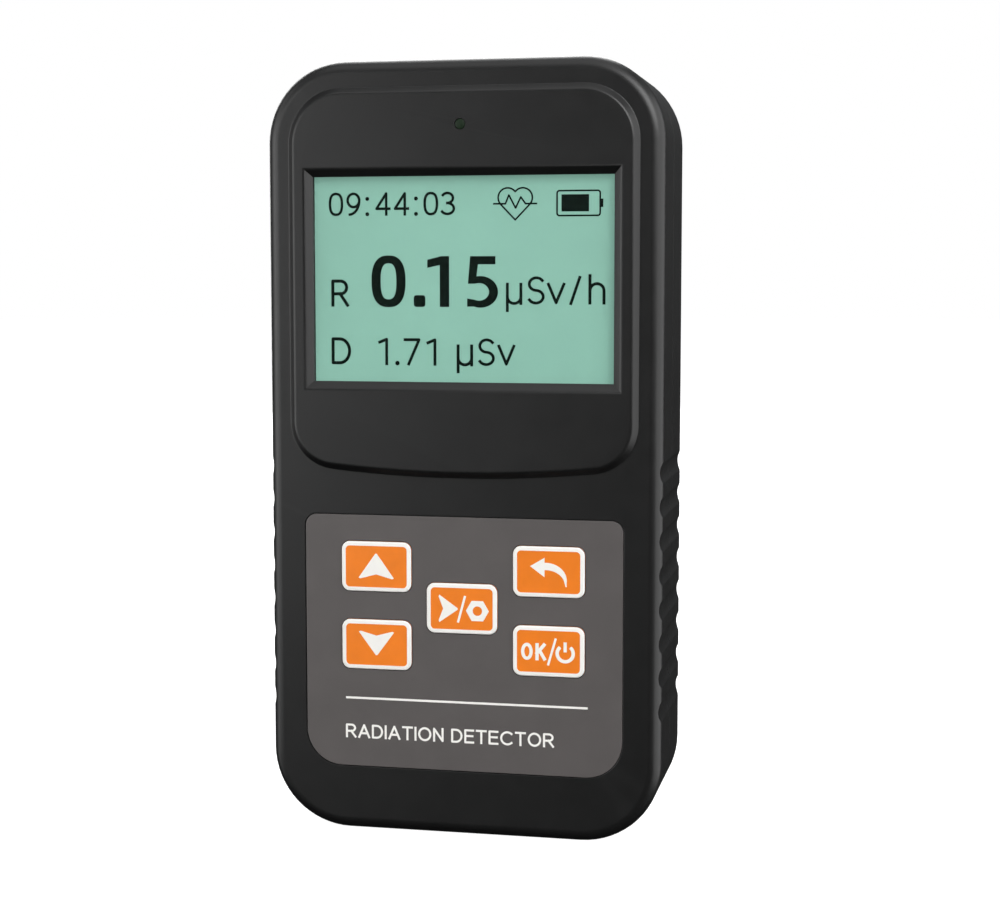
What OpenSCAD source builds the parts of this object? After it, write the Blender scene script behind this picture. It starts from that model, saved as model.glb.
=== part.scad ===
// Handheld radiation meter: a two-shell case with a raised display bezel, a framed display,
// a five-key pad, and inside it one board, a counter tube, a battery and the alarm parts.
// Every sub-part is drawn with the meter laid on its back: x runs across it, y runs along it from
// the lower end, and z rises towards the face. upright() then stands it on its lower end.

/* [Case] */
// Width across the case
body_w = 62; // [60:1:66]
// Length of the case
body_h = 120; // [119:1:122]
// Depth from the display bezel to the back
body_d = 25; // [25:1:29]
// Radius of the case's four corners, seen from the front
corner_r = 12.5; // [12:0.5:13]
// Radius of the case's front and back edges
edge_r = 2.0; // [1.5:0.25:2.5]
// Wall of both shells
wall = 2.0; // [1.8:0.1:2.2]
// Depth of the seam line between the shells
seam_depth = 0.15; // [0.1:0.05:0.3]

/* [Display bezel] */
// How far the bezel stands above the face
bezel_rise = 0.9; // [0.7:0.1:1.1]
// Width of the bezel at its foot
bezel_w = 54.6; // [53:0.2:55]
// Height of the bezel's upper edge on the case
bezel_top = 115.8; // [115:0.2:116.2]
// Height of the lowest point of its bowed lower edge
bezel_bottom = 56.2; // [55.5:0.1:57]
// Radius of the bezel's upper corners at its foot
bezel_r = 8.5; // [7:0.5:10]
// Radius of the bezel's lower corners at its foot
bezel_low_r = 7.4; // [6.5:0.1:9]
// Radius of its bowed lower edge
bezel_bow_r = 200; // [150:10:260]

/* [Display] */
// Width of the visible display
view_w = 47.0; // [45:0.1:47.5]
// Height of the visible display
view_h = 31.4; // [30:0.1:32]
// Height of the display's centre on the case
view_y = 86.6; // [86:0.1:87.5]
// Width of the sloped rim at the display's sides
rim_w = 1.2; // [0.8:0.05:1.3]
// Height of the sloped rim above and below the display
rim_h = 1.2; // [0.8:0.05:1.3]

/* [Keypad] */
// Width of the keypad film
pad_w = 50.2; // [48:0.2:50.4]
// Lower edge of the keypad film
pad_bottom = 10.3; // [10:0.1:11]
// Upper edge of the keypad film
pad_top = 50.1; // [49:0.1:51]
// Width of a key
key_w = 11.15; // [10.5:0.05:11.5]
// Height of a key
key_h = 7.8; // [7.4:0.1:8]
// Height of the middle key's centre
key_y = 35.9; // [35.5:0.1:36.5]
// Sideways pitch of the keys
key_pitch_x = 13.65; // [13.3:0.05:14]
// Lengthways pitch of the keys
key_pitch_y = 6.15; // [6:0.05:6.3]
// How far a key stands above the film
key_rise = 0.25; // [0.1:0.05:0.4]
// Travel of a key when it is pressed
key_travel = 0.3; // [0.2:0.05:0.3]

/* [Grips] */
// Scallops along each side
grip_count = 8; // [6:1:8]
// Height of the lowest scallop
grip_bottom = 20.75; // [20:0.25:22]
// Pitch of the scallops
grip_pitch = 5.25; // [5:0.05:5.5]
// Length of one scallop along the side
grip_length = 3.4; // [2.8:0.1:4]
// Depth of a scallop
grip_depth = 0.5; // [0.3:0.05:0.6]

/* [Hidden] */

$fn = 48;
gap = 0.01;

// Levels through the depth: z is 0 at mid-depth and rises towards the face.
bezel_z = body_d / 2;
face_z = bezel_z - bezel_rise;
back_z = -body_d / 2;
seam_z = 0.3;
inner_front_z = face_z - wall;
inner_back_z = back_z + wall;
board_t = 1.6;
board_front_z = inner_front_z - 5.1;
board_back_z = board_front_z - board_t;

// Shells
half_w = body_w / 2;
lip_h = 1.1;
lip_t = wall / 2 - 0.05;
seam_w = 0.12;
boss_r = 3.3;
rear_boss_r = 4.0;
boss_inset = 7.6;
insert_r = 1.9;
insert_len = 4.8;
screw_r = 1.2;
screw_hole_r = 1.4;
head_r = 2.3;
head_h = 1.7;
head_seat_z = back_z + 4;
boss_spots = [for (x = [-1, 1], y = [boss_inset, body_h - boss_inset])
    [x * (half_w - boss_inset), y]];

// Board fixings
standoff_r = 2.6;
standoff_spots = [for (x = [-1, 1]) each
    [[x * 24.5, 20], [x * 24.5, pad_top + 8.5], [x * 12, body_h - 9.5]]];
board_screw_r = 0.95;
board_pilot_r = 1.0;

// Display stack, from the window back to the board
window_t = 0.8;
window_front_z = bezel_z - 1.2;
foam_t = 0.4;
lcd_front_z = window_front_z - window_t - foam_t;
lcd_t = 1.8;
lcd_w = view_w + 4.7;
lcd_h = view_h + 6.2;
backlight_t = 2.6;
window_margin = 1.65;

// Keys: name index, column and row of each
film_t = 0.4;
key_r = 1.3;
key_clear = 0.15;
flange_t = 0.7;
key_spots = [[-1, 1], [-1, -1], [0, 0], [1, 1], [1, -1]];
flange_front_z = inner_front_z - 0.1;
flange_back_z = flange_front_z - flange_t;
switch_h = 3.5;
stem_r = 1.7;
stem_clear = 0.1;

// Counter tube, battery and the parts on the board's back
tube_x = -19;
tube_z = -4.5;
tube_r = 5;
tube_bottom = 18;
tube_top = 98;
cap_len = 4;
cap_r = 4.2;
cell_size = [34, 50, 6];
cell_x = 9;
cell_bottom = 22;
tape_t = 0.4;
buzzer_spot = [15, 92];
buzzer_r = 6;
led_y = body_h - 10;
motor_y = 15;
motor_r = 2.2;
boot_t = 0.75;
motor_z = board_back_z - motor_r - boot_t;
usb_w = 8.94;
usb_h = 3.16;
usb_len = 7.3;
usb_wall = 0.3;
usb_z = board_back_z - usb_h / 2;
label_size = [38, 24];
label_y = 46;
label_t = 0.2;

case_black = "#262626";
board_green = "#1f5a33";
tinned = "#c9ccd0";

// ---------------------------------------------------------------- shared shapes

module upright() rotate([90, 0, 0]) children();

// A flat rounded rectangle centred on x, from y0 to y1, with its own radius at each end.
module round_rect(w, y0, y1, r_low, r_high) {
    for (s = [-1, 1]) {
        translate([s * (w / 2 - r_low), y0 + r_low]) circle(r_low);
        translate([s * (w / 2 - r_high), y1 - r_high]) circle(r_high);
    }
    translate([-w / 2, y0 + r_low]) square([w, y1 - y0 - r_low - r_high]);
    translate([-w / 2 + r_low, y0]) square([w - 2 * r_low, r_low + gap]);
    translate([-w / 2 + r_high, y1 - r_high - gap]) square([w - 2 * r_high, r_high + gap]);
}

module plate(w, y0, y1, r, z0, z1) {
    translate([0, 0, z0])
        linear_extrude(z1 - z0) round_rect(w, y0, y1, r, r);
}

// Section of a slab's rim: r wide, with its outer corners rounded by top_r and bottom_r.
module rim_section(r, z0, z1, top_r, bottom_r) {
    difference() {
        translate([0, z0]) square([r, z1 - z0]);
        if (top_r > 0)
            translate([r - top_r, z1 - top_r]) difference() {
                square(top_r + 1);
                circle(top_r);
            }
        if (bottom_r > 0)
            translate([r - bottom_r, z0 + bottom_r]) difference() {
                translate([0, -bottom_r - 1]) square([bottom_r + 1, bottom_r + 1]);
                circle(bottom_r);
            }
    }
}

// A rounded slab from y0 to y1 with true fillets on its upper and lower edges.
module soft_slab(w, y0, y1, r, z0, z1, top_r = 0, bottom_r = 0) {
    cx = w / 2 - r;
    cy = (y1 - y0) / 2 - r;
    translate([0, (y0 + y1) / 2, 0]) {
        translate([-cx, -cy, z0]) cube([2 * cx, 2 * cy, z1 - z0]);
        for (a = [0, 1, 2, 3]) {
            along = a % 2 == 0 ? cy : cx;
            across = a % 2 == 0 ? cx : cy;
            rotate([0, 0, 90 * a]) {
                translate([across, along, 0])
                    rotate_extrude(angle = 90) rim_section(r, z0, z1, top_r, bottom_r);
                translate([across, along, 0]) rotate([90, 0, 0])
                    linear_extrude(2 * along) rim_section(r, z0, z1, top_r, bottom_r);
            }
        }
    }
}

module post(spot, r, z0, z1) translate([spot[0], spot[1], z0]) cylinder(r = r, h = z1 - z0);

module block(w, h, x, y, z0, z1) translate([x - w / 2, y - h / 2, z0]) cube([w, h, z1 - z0]);

// A lead of square section in a plane of constant x: along y from [y0, z0], up the depth, and
// along y again to [y1, z1], with two rounded bends half-way.
module wire(x, y0, z0, y1, z1, r, bend) {
    mid = (y0 + y1) / 2;
    lower = concat([[y0, z0 - r]], arc(mid - bend, z0 + bend, bend + r, 270, 360, 6),
        arc(mid + bend, z1 - bend, bend - r, 180, 90, 6), [[y1, z1 - r]]);
    upper = concat([[y1, z1 + r]], arc(mid + bend, z1 - bend, bend + r, 90, 180, 6),
        arc(mid - bend, z0 + bend, bend - r, 360, 270, 6), [[y0, z0 + r]]);
    translate([x - r, 0, 0]) rotate([90, 0, 90]) linear_extrude(2 * r)
        polygon(concat(lower, upper));
}

// ---------------------------------------------------------------- case

// Outline of the bezel drawn in by inset: round corners and a lower edge bowed outwards.
function arc(cx, cy, r, from, to, n) =
    [for (i = [0 : n]) let (a = from + (to - from) * i / n) [cx + r * cos(a), cy + r * sin(a)]];

function bezel_outline(inset) =
    let (
        r = bezel_r - inset,
        low_r = bezel_low_r - inset,
        cx = bezel_w / 2 - bezel_r,
        low_cx = bezel_w / 2 - bezel_low_r,
        reach = bezel_bow_r - bezel_low_r,
        tilt = asin(low_cx / reach),
        bow_y = bezel_bottom + bezel_bow_r,
        low_y = bow_y - reach * cos(tilt),
        high_y = bezel_top - bezel_r
    )
    concat(
        arc(cx, high_y, r, 0, 90, 14),
        arc(-cx, high_y, r, 90, 180, 14),
        arc(-low_cx, low_y, low_r, 180, 270 - tilt, 14),
        arc(0, bow_y, bezel_bow_r - inset, 270 - tilt * 0.9, 270 + tilt * 0.9, 16),
        arc(low_cx, low_y, low_r, 270 + tilt, 360, 14)
    );

// Sloped side of the bezel with a rounded upper edge, as [inset, height] steps.
bezel_steps = [[0, 0], [0.62, 0.66], [0.8, 0.8], [1.0, 0.875], [1.25, bezel_rise]];

module bezel() {
    hull()
        for (s = bezel_steps)
            translate([0, 0, face_z + s[1] - 2 * gap])
                linear_extrude(2 * gap) polygon(bezel_outline(s[0]));
}

module scallops() {
    steps = 12;
    section = [for (i = [0 : steps])
        [half_w + 0.03 - grip_depth * (1 - cos(360 * i / steps)) / 2,
         grip_length * (i / steps - 0.5)]];
    outside = [[half_w + 1, grip_length / 2], [half_w + 1, -grip_length / 2]];
    for (side = [0, 1], n = [0 : grip_count - 1])
        mirror([side, 0, 0]) translate([0, grip_bottom + n * grip_pitch, back_z - 1])
            linear_extrude(body_d + 2) polygon(concat(section, outside));
}

module seam_groove() {
    difference() {
        plate(body_w + 2, -1, body_h + 1, corner_r, seam_z - seam_w / 2, seam_z + seam_w / 2);
        plate(body_w - 2 * seam_depth, seam_depth, body_h - seam_depth, corner_r - seam_depth,
            seam_z - 1, seam_z + 1);
    }
}

module window_cut() {
    foot = window_front_z + 0.2;
    translate([-view_w / 2, view_y - view_h / 2, window_front_z - 1])
        cube([view_w, view_h, 1.2 + gap]);
    hull() {
        translate([-view_w / 2, view_y - view_h / 2, foot]) cube([view_w, view_h, gap]);
        translate([-view_w / 2 - rim_w, view_y - view_h / 2 - rim_h, bezel_z])
            cube([view_w + 2 * rim_w, view_h + 2 * rim_h, 1]);
    }
}

module window_pocket() {
    m = window_margin + 0.3;
    plate(view_w + 2 * m, view_y - view_h / 2 - m, view_y + view_h / 2 + m, 1,
        inner_front_z - 1, window_front_z);
    plate(lcd_w + 1, view_y - lcd_h / 2 - 0.5, view_y + lcd_h / 2 + 0.5, 1,
        inner_front_z - 1, lcd_front_z + 0.1);
}

module key_outline(grow) {
    round_rect(key_w + 2 * grow, -key_h / 2 - grow, key_h / 2 + grow, key_r + grow, key_r + grow);
}

module at_keys() {
    for (s = key_spots)
        translate([s[0] * key_pitch_x, key_y + s[1] * key_pitch_y, 0]) children();
}

module film_outline(grow) {
    round_rect(pad_w + 2 * grow, pad_bottom - grow, pad_top + grow, 5.7 + grow, 1.8 + grow);
}

module usb_outline(grow) {
    r = usb_h / 2 + grow;
    for (s = [-1, 1]) translate([s * (usb_w / 2 - usb_h / 2), usb_z]) circle(r);
    translate([-(usb_w - usb_h) / 2, usb_z - r]) square([usb_w - usb_h, 2 * r]);
}

// Stands a drawing of x and z up at the lower end and draws it from y0 to y1.
module along_y(y0, y1) translate([0, y1, 0]) rotate([90, 0, 0]) linear_extrude(y1 - y0) children();

module front_housing() {
    color(case_black) difference() {
        union() {
            difference() {
                union() {
                    soft_slab(body_w, 0, body_h, corner_r, seam_z, face_z, top_r = edge_r);
                    bezel();
                }
                soft_slab(body_w - 2 * wall, wall, body_h - wall, corner_r - wall,
                    seam_z - 1, inner_front_z, top_r = 1);
                plate(body_w - 2 * wall + 2 * lip_t + 0.1, wall - lip_t - 0.05,
                    body_h - wall + lip_t + 0.05, corner_r - wall + lip_t + 0.05,
                    seam_z - 1, seam_z + lip_h + 0.1);
            }
            for (s = boss_spots) post(s, boss_r, seam_z + lip_h + 0.1, inner_front_z + gap);
            for (s = standoff_spots) post(s, standoff_r, board_front_z, inner_front_z + gap);
            post([0, led_y], 2.2, inner_front_z - 2, inner_front_z + gap);
        }
        window_cut();
        window_pocket();
        translate([0, 0, face_z - film_t]) linear_extrude(1) film_outline(0.1);
        at_keys() translate([0, 0, inner_front_z - 1])
            linear_extrude(wall + 2) key_outline(key_clear);
        post([0, led_y], 0.85, inner_front_z - 3, bezel_z + 1);
        for (s = boss_spots) {
            post(s, insert_r, seam_z, seam_z + lip_h + 0.1 + insert_len);
            post(s, screw_hole_r, seam_z, inner_front_z - 2);
        }
        for (s = standoff_spots) post(s, board_pilot_r, board_front_z - 1, board_front_z + 4);
        along_y(-1, wall + 1) usb_outline(0.2);
        scallops();
        seam_groove();
    }
}

module rear_housing() {
    color(case_black) difference() {
        union() {
            difference() {
                soft_slab(body_w, 0, body_h, corner_r, back_z, seam_z, bottom_r = edge_r);
                soft_slab(body_w - 2 * wall, wall, body_h - wall, corner_r - wall,
                    inner_back_z, seam_z + 1, bottom_r = 1);
            }
            difference() {
                plate(body_w - 2 * wall + 2 * lip_t, wall - lip_t, body_h - wall + lip_t,
                    corner_r - wall + lip_t, seam_z - 1, seam_z + lip_h);
                plate(body_w - 2 * wall + 0.2, wall - 0.1, body_h - wall + 0.1,
                    corner_r - wall + 0.1, seam_z - 2, seam_z + lip_h + 1);
            }
            for (s = boss_spots) post(s, rear_boss_r, inner_back_z - gap, seam_z + lip_h);
            battery_ribs();
        }
        for (s = boss_spots) {
            post(s, screw_hole_r, back_z, seam_z + lip_h + 1);
            post(s, head_r + 0.4, back_z - 1, head_seat_z);
        }
        tube_slots();
        sound_holes();
        plate(label_size[0] + 0.4, label_y - label_size[1] / 2 - 0.2,
            label_y + label_size[1] / 2 + 0.2, 1.7, back_z - 1, back_z + 0.3);
        along_y(-1, wall + 1) usb_outline(0.2);
        scallops();
        seam_groove();
    }
}

module battery_ribs() {
    for (s = [-1, 1])
        block(1, cell_size[1] - 8, cell_x + s * (cell_size[0] / 2 + 0.8),
            cell_bottom + cell_size[1] / 2, inner_back_z - gap, inner_back_z + 4);
    block(cell_size[0] - 8, 1, cell_x, cell_bottom - 0.8, inner_back_z - gap, inner_back_z + 4);
}

// Slots over the counter tube that let weak rays in.
module tube_slots() {
    for (n = [0 : 7]) {
        translate([tube_x + 2, 68 + n * 4, back_z - 1]) linear_extrude(wall + 2) {
            for (s = [-1, 1]) translate([s * 5, 0]) circle(0.7);
            translate([-5, -0.7]) square([10, 1.4]);
        }
    }
}

module sound_holes() {
    post(buzzer_spot, 0.7, back_z - 1, inner_back_z + 1);
    for (ring = [[6, 2.2], [12, 4.2]], n = [1 : ring[0]])
        post(buzzer_spot + ring[1] * [cos(360 * n / ring[0]), sin(360 * n / ring[0])], 0.6,
            back_z - 1, inner_back_z + 1);
}

module back_label() {
    color("#8f9194") plate(label_size[0], label_y - label_size[1] / 2,
        label_y + label_size[1] / 2, 1.5, back_z + 0.3 - label_t, back_z + 0.3);
}

module threaded_inserts() {
    z0 = seam_z + lip_h + 0.2;
    color("#b58a3c") for (s = boss_spots) difference() {
        union() {
            post(s, insert_r - 0.01, z0, z0 + insert_len - 0.2);
        }
        post(s, screw_r + 0.05, z0 - 1, z0 + insert_len);
        for (z = [z0 + 1.5, z0 + 3.1]) post_ring(s, insert_r - 0.2, insert_r + 1, z, z + 0.4);
    }
}

module post_ring(spot, r0, r1, z0, z1) {
    difference() {
        post(spot, r1, z0, z1);
        post(spot, r0, z0 - 1, z1 + 1);
    }
}

// Pan head with a cross recess, its head towards the back; z0 is the seat under the head.
module machine_screw(spot, r, shank, head, head_t, seat_z) {
    difference() {
        union() {
            post(spot, r, seat_z - gap, seat_z + shank);
            translate([spot[0], spot[1], seat_z]) mirror([0, 0, 1])
                rotate_extrude() rim_section(head, 0, head_t, head_t * 0.55, 0);
        }
        for (a = [0, 90]) translate([spot[0], spot[1], seat_z - head_t - gap]) rotate([0, 0, a])
            translate([-head * 0.55, -head * 0.12, 0]) cube([head * 1.1, head * 0.24, head_t * 0.65]);
    }
}

module housing_screws() {
    color("#6e7073") for (s = boss_spots)
        machine_screw(s, screw_r, 13.5, head_r, head_h, head_seat_z);
}

module board_screws() {
    color(tinned) for (s = standoff_spots)
        machine_screw(s, board_screw_r, 5.2, 1.9, 1.4, board_back_z);
}

// ---------------------------------------------------------------- display

module display_window() {
    m = window_margin;
    color("#cfe3dc", 0.35) plate(view_w + 2 * m, view_y - view_h / 2 - m,
        view_y + view_h / 2 + m, 0.8, window_front_z - window_t, window_front_z);
}

module window_foam() {
    m = window_margin - 0.1;
    color("#151515") difference() {
        plate(view_w + 2 * m, view_y - view_h / 2 - m, view_y + view_h / 2 + m, 0.7,
            lcd_front_z, lcd_front_z + foam_t);
        block(view_w + 0.2, view_h + 0.2, 0, view_y, lcd_front_z - 1, lcd_front_z + 1);
    }
}

// Two glass sheets, the rear one longer at the foot to carry the ribbon's contacts.
module lcd_glass() {
    z1 = lcd_front_z;
    color("#8fc0b0") {
        block(lcd_w, lcd_h - 3, 0, view_y + 1.5, z1 - lcd_t / 2, z1);
        block(lcd_w, lcd_h, 0, view_y, z1 - lcd_t, z1 - lcd_t / 2);
    }
}

module lcd_backlight() {
    z1 = lcd_front_z - lcd_t;
    color("#e8efe9") {
        block(lcd_w, lcd_h, 0, view_y, z1 - backlight_t, z1);
        block(5, 3, -lcd_w / 2 + 8, view_y + lcd_h / 2 + 0.4, z1 - backlight_t, z1 - 0.8);
    }
}

// Carrier frame: a tray under the display, a wall round it and four feet on the board.
module lcd_frame() {
    t = 1.2;
    c = 0.2;
    z1 = lcd_front_z - lcd_t - backlight_t;
    color("#dcdfe0") difference() {
        block(lcd_w + 2 * t + 2 * c, lcd_h + 2 * t + 2 * c, 0, view_y, board_front_z,
            inner_front_z - 0.3);
        block(lcd_w + 2 * c, lcd_h + 2 * c, 0, view_y, z1, inner_front_z + 1);
        block(lcd_w - 8, lcd_h - 8, 0, view_y, board_front_z - 1, z1 + 1);
        block(lcd_w + 8, lcd_h - 10, 0, view_y, board_front_z - 1, board_front_z + 0.6);
        block(24, 8, 0, view_y - lcd_h / 2 - 2, board_front_z - 1, inner_front_z + 1);
        block(5.6, 5, -lcd_w / 2 + 8, view_y + lcd_h / 2 + 1, z1 - 0.01, inner_front_z + 1);
    }
}

ribbon_t = 0.2;

// A flat ribbon bent from the rear glass's ledge down to its connector on the board.
module lcd_ribbon() {
    y0 = view_y - lcd_h / 2;
    zt = lcd_front_z - lcd_t / 2;
    zb = board_front_z + 1;
    bend = (zt + ribbon_t - zb) / 2;
    zc = zb + bend;
    color("#c07f2c") translate([10, 0, 0]) rotate([0, -90, 0]) linear_extrude(20) {
        translate([zt, y0 - 0.6]) square([ribbon_t, 3]);
        translate([zb, y0 - 4]) square([ribbon_t, 3.4]);
        translate([zc, y0 - 0.6]) difference() {
            circle(bend);
            circle(bend - ribbon_t);
            translate([-10, 0]) square(20);
        }
    }
}

module ribbon_connector() {
    y0 = view_y - lcd_h / 2;
    color("#d9d2c0") difference() {
        block(23, 4, 0, y0 - 5, board_front_z, board_front_z + 2);
        block(20.4, 4, 0, y0 - 4, board_front_z + 0.95, board_front_z + 1.25);
    }
}

// ---------------------------------------------------------------- keypad

module keypad_film() {
    color("#5d5959") difference() {
        translate([0, 0, face_z - film_t]) linear_extrude(film_t) film_outline(0);
        at_keys() translate([0, 0, face_z - 2]) linear_extrude(4) key_outline(key_clear - 0.03);
    }
}

module key(n) {
    s = key_spots[n];
    color("#ee8322") translate([s[0] * key_pitch_x, key_y + s[1] * key_pitch_y, 0]) {
        soft_slab(key_w, -key_h / 2, key_h / 2, key_r, flange_back_z + gap, face_z + key_rise,
            top_r = 0.25);
        plate(key_w + 1.8, -key_h / 2 - 0.9, key_h / 2 + 0.9, key_r + 0.9, flange_back_z,
            flange_front_z);
    }
}

// Stem of one push switch; its cap touches the back of the key.
module switch_stem(n) {
    s = key_spots[n];
    spot = [s[0] * key_pitch_x, key_y + s[1] * key_pitch_y];
    color("#1b1b1b") {
        post(spot, stem_r, board_front_z + switch_h - 0.9, flange_back_z);
        post(spot, stem_r + 0.25, board_front_z + switch_h - 1.4, board_front_z + switch_h - 0.9);
    }
}

// Cans of the five push switches, each with four solder legs.
module switch_bodies() {
    can = 6;
    top = board_front_z + switch_h;
    color("#202124") at_keys() difference() {
        union() {
            block(can, can, 0, 0, board_front_z, top - 0.3);
            block(can - 0.8, can - 0.8, 0, 0, top - 0.4, top);
            for (x = [-1, 1], y = [-1, 1])
                block(1.6, 0.8, x * (can / 2 + 0.7), y * 2.25, board_front_z, board_front_z + 0.5);
        }
        translate([0, 0, board_front_z + 1.2])
            cylinder(r = stem_r + 0.25 + stem_clear, h = switch_h - 1.2 - 0.7);
        translate([0, 0, top - 0.8]) cylinder(r = stem_r + stem_clear, h = 1);
    }
}

// ---------------------------------------------------------------- board and what it carries

module main_board() {
    edge = 0.6;
    color(board_green) difference() {
        plate(body_w - 2 * (wall + edge), wall + edge, body_h - wall - edge,
            corner_r - wall - edge, board_back_z, board_front_z);
        for (s = boss_spots) post(s, boss_r + 0.3, board_back_z - 1, board_front_z + 1);
        for (s = standoff_spots) post(s, board_screw_r + 0.15, board_back_z - 1, board_front_z + 1);
    }
}

// A chip standing off the board's back, with rows of legs on two or four sides.
module chip(x, y, w, h, t, legs, sides) {
    z1 = board_back_z;
    pitch = (h - 1.2) / (legs - 1);
    block(w, h, x, y, z1 - t, z1 - 0.15);
    for (a = sides, n = [0 : legs - 1])
        translate([x, y, 0]) rotate([0, 0, a])
            block(1.1, pitch * 0.45, (a % 180 == 0 ? w : h) / 2 + 0.45,
                -h / 2 + 0.6 + n * pitch, z1 - 0.35, z1);
}

module microcontroller() color("#1a1a1c") chip(10, 50, 10, 10, 1.5, 12, [0, 90, 180, 270]);

module charger_chip() color("#1a1a1c") chip(-3, 26, 4, 5, 1.6, 4, [0, 180]);

module power_coil() {
    color("#3b3d40") translate([6, 26, board_back_z - 3]) difference() {
        block(6, 6, 0, 0, 0, 3);
        for (a = [45 : 90 : 315]) rotate([0, 0, a]) block(2, 4, 4.2, 0, -1, 4);
    }
}

module crystal() color(tinned) plate_at(10, 37, 11, 4.6, 2.29, board_back_z - 3.5, board_back_z);

module plate_at(x, y, w, h, r, z0, z1) {
    translate([x, y, 0]) plate(w, -h / 2, h / 2, r, z0, z1);
}

// Step-up transformer for the tube's high voltage: two ferrite halves and a wound bobbin.
module hv_transformer() {
    z = board_back_z;
    color("#4a4a4e") translate([-4, 84, 0]) {
        difference() {
            block(11, 11, 0, 0, z - 8.6, z - 0.8);
            block(12, 7.2, 0, 0, z - 6.8, z - 2.6);
        }
        translate([0, 0, z - 6.8]) cylinder(r = 3.4, h = 4.2);
        for (x = [-1, 1], n = [-1, 0, 1]) translate([x * 4.4, n * 3, z - 0.8]) cylinder(r = 0.4, h = 0.8);
    }
}

module hv_capacitors() {
    color("#2f6fb5") for (n = [0 : 3]) {
        y = 97 + n * 3.4;
        translate([-7, y - 1.1, board_back_z - 4.4]) rotate([-90, 0, 0]) cylinder(r = 3.4, h = 2.2);
        for (x = [-1, 1]) translate([-7 + x * 1.8, y, board_back_z - 1.9]) cylinder(r = 0.3, h = 1.9);
    }
}

module buzzer() {
    color("#1c1c1e") difference() {
        union() {
            post(buzzer_spot, buzzer_r, board_back_z - 8.5, board_back_z - 0.4);
            for (x = [-1, 1])
                post(buzzer_spot + [x * 3.25, 0], 0.35, board_back_z - 0.5, board_back_z);
        }
        post(buzzer_spot, 1.2, board_back_z - 9, board_back_z - 6.5);
    }
}

module buzzer_gasket() {
    color("#2c2c2c") post_ring(buzzer_spot, 4.9, 6.2, inner_back_z, board_back_z - 8.5);
}

module status_led() {
    color("#e9efe0") {
        block(3.2, 1.6, 0, led_y, board_front_z, board_front_z + 0.7);
        translate([0, led_y, board_front_z + 0.6]) cylinder(r = 0.7, h = 0.7);
    }
}

module light_pipe() {
    color("#2f5a33", 0.8) {
        post([0, led_y], 0.8, board_front_z + 1.6, bezel_z);
        post([0, led_y], 1.6, board_front_z + 1.6, inner_front_z - 2);
    }
}

motor_x = 8;
motor_len = 10;

module along_x(x0, r, len) {
    translate([x0, motor_y, motor_z]) rotate([0, 90, 0]) cylinder(r = r, h = len);
}

module motor_case() {
    color(tinned) difference() {
        union() {
            along_x(motor_x, motor_r, motor_len);
            along_x(motor_x + motor_len - gap, 0.9, 0.5);
        }
        along_x(motor_x + motor_len - 5, 0.45, 6);
    }
}

module motor_boot() {
    color("#303030") difference() {
        union() {
            along_x(motor_x + 0.6, motor_r + boot_t - 0.01, motor_len - 2);
            block(motor_len - 2, 2 * motor_r + 1, motor_x + 0.6 + motor_len / 2 - 1, motor_y,
                motor_z, board_back_z);
        }
        along_x(motor_x - 1, motor_r + 0.02, motor_len + 2);
    }
}

module motor_shaft() color("#b9bcc0") along_x(motor_x + motor_len - 4, 0.4, 8);

// Half-round weight pressed on the shaft, so that the motor shakes as it turns.
module motor_weight() {
    x0 = motor_x + motor_len + 0.8;
    color("#8b8d90") difference() {
        along_x(x0, 2.5, 3);
        translate([x0 - 1, motor_y - 3, motor_z + 0.9]) cube([5, 6, 3]);
        along_x(x0 - 1, 0.4, 5);
    }
}

// ---------------------------------------------------------------- counter tube

module along_tube(y0, y1, r) {
    translate([tube_x, y0, tube_z]) rotate([-90, 0, 0]) cylinder(r = r, h = y1 - y0);
}

// Sealed tube with domed ends and its thin central wire.
module counter_tube() {
    color("#b8c4c6", 0.5) {
        translate([tube_x, tube_bottom + cap_len, tube_z]) rotate([-90, 0, 0])
            rotate_extrude() difference() {
                intersection() {
                    square([tube_r, tube_top - tube_bottom - 2 * cap_len]);
                    rim_section(tube_r, 0, tube_top - tube_bottom - 2 * cap_len, 2, 2);
                }
                translate([0.4, 1]) square([tube_r - 0.9, tube_top - tube_bottom - 2 * cap_len - 2]);
            }
    }
}

module tube_caps() {
    color(tinned) {
        along_tube(tube_bottom, tube_bottom + cap_len, cap_r);
        along_tube(tube_top - cap_len, tube_top, cap_r);
        along_tube(tube_top - gap, tube_top + 1.5, 1);
    }
}

// Thin metal sleeve that evens out the tube's response; it leaves a gap under the slots.
module tube_shield() {
    color("#9a7b4f") difference() {
        along_tube(30, 86, tube_r + 0.35);
        along_tube(29, 87, tube_r + 0.03);
        translate([tube_x + 2 - 3, 66, tube_z - 8]) cube([6, 16, 5]);
    }
}

module tube_clips() {
    color("#a8abae") for (y = [tube_bottom + 0.5, tube_top - 3.5]) {
        difference() {
            union() {
                along_tube(y, y + 3, cap_r + 0.5);
                block(5, 3, tube_x, y + 1.5, tube_z + cap_r, board_back_z);
            }
            along_tube(y - 1, y + 4, cap_r + 0.01);
            translate([tube_x - 2.4, y - 1, tube_z - 6]) cube([4.8, 5, 4]);
        }
    }
}

// ---------------------------------------------------------------- battery

cell_back_z = inner_back_z + tape_t;
cell_front_z = cell_back_z + cell_size[2];
cell_top = cell_bottom + cell_size[1];

module battery_cell() {
    color("#b4b7ba") translate([cell_x, 0, 0])
        soft_slab(cell_size[0], cell_bottom, cell_top, 3, cell_back_z, cell_front_z,
            top_r = 1.5, bottom_r = 1.5);
}

module battery_tape() {
    color("#e6e2d6") block(cell_size[0] - 8, cell_size[1] - 10, cell_x,
        cell_bottom + cell_size[1] / 2, inner_back_z, cell_back_z);
}

// Protection board folded along the cell's upper edge.
module battery_tab_board() {
    color("#1d4d2e") block(22, 1, cell_x, cell_top + 0.6, cell_back_z + 1, cell_front_z - 1);
}

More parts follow.
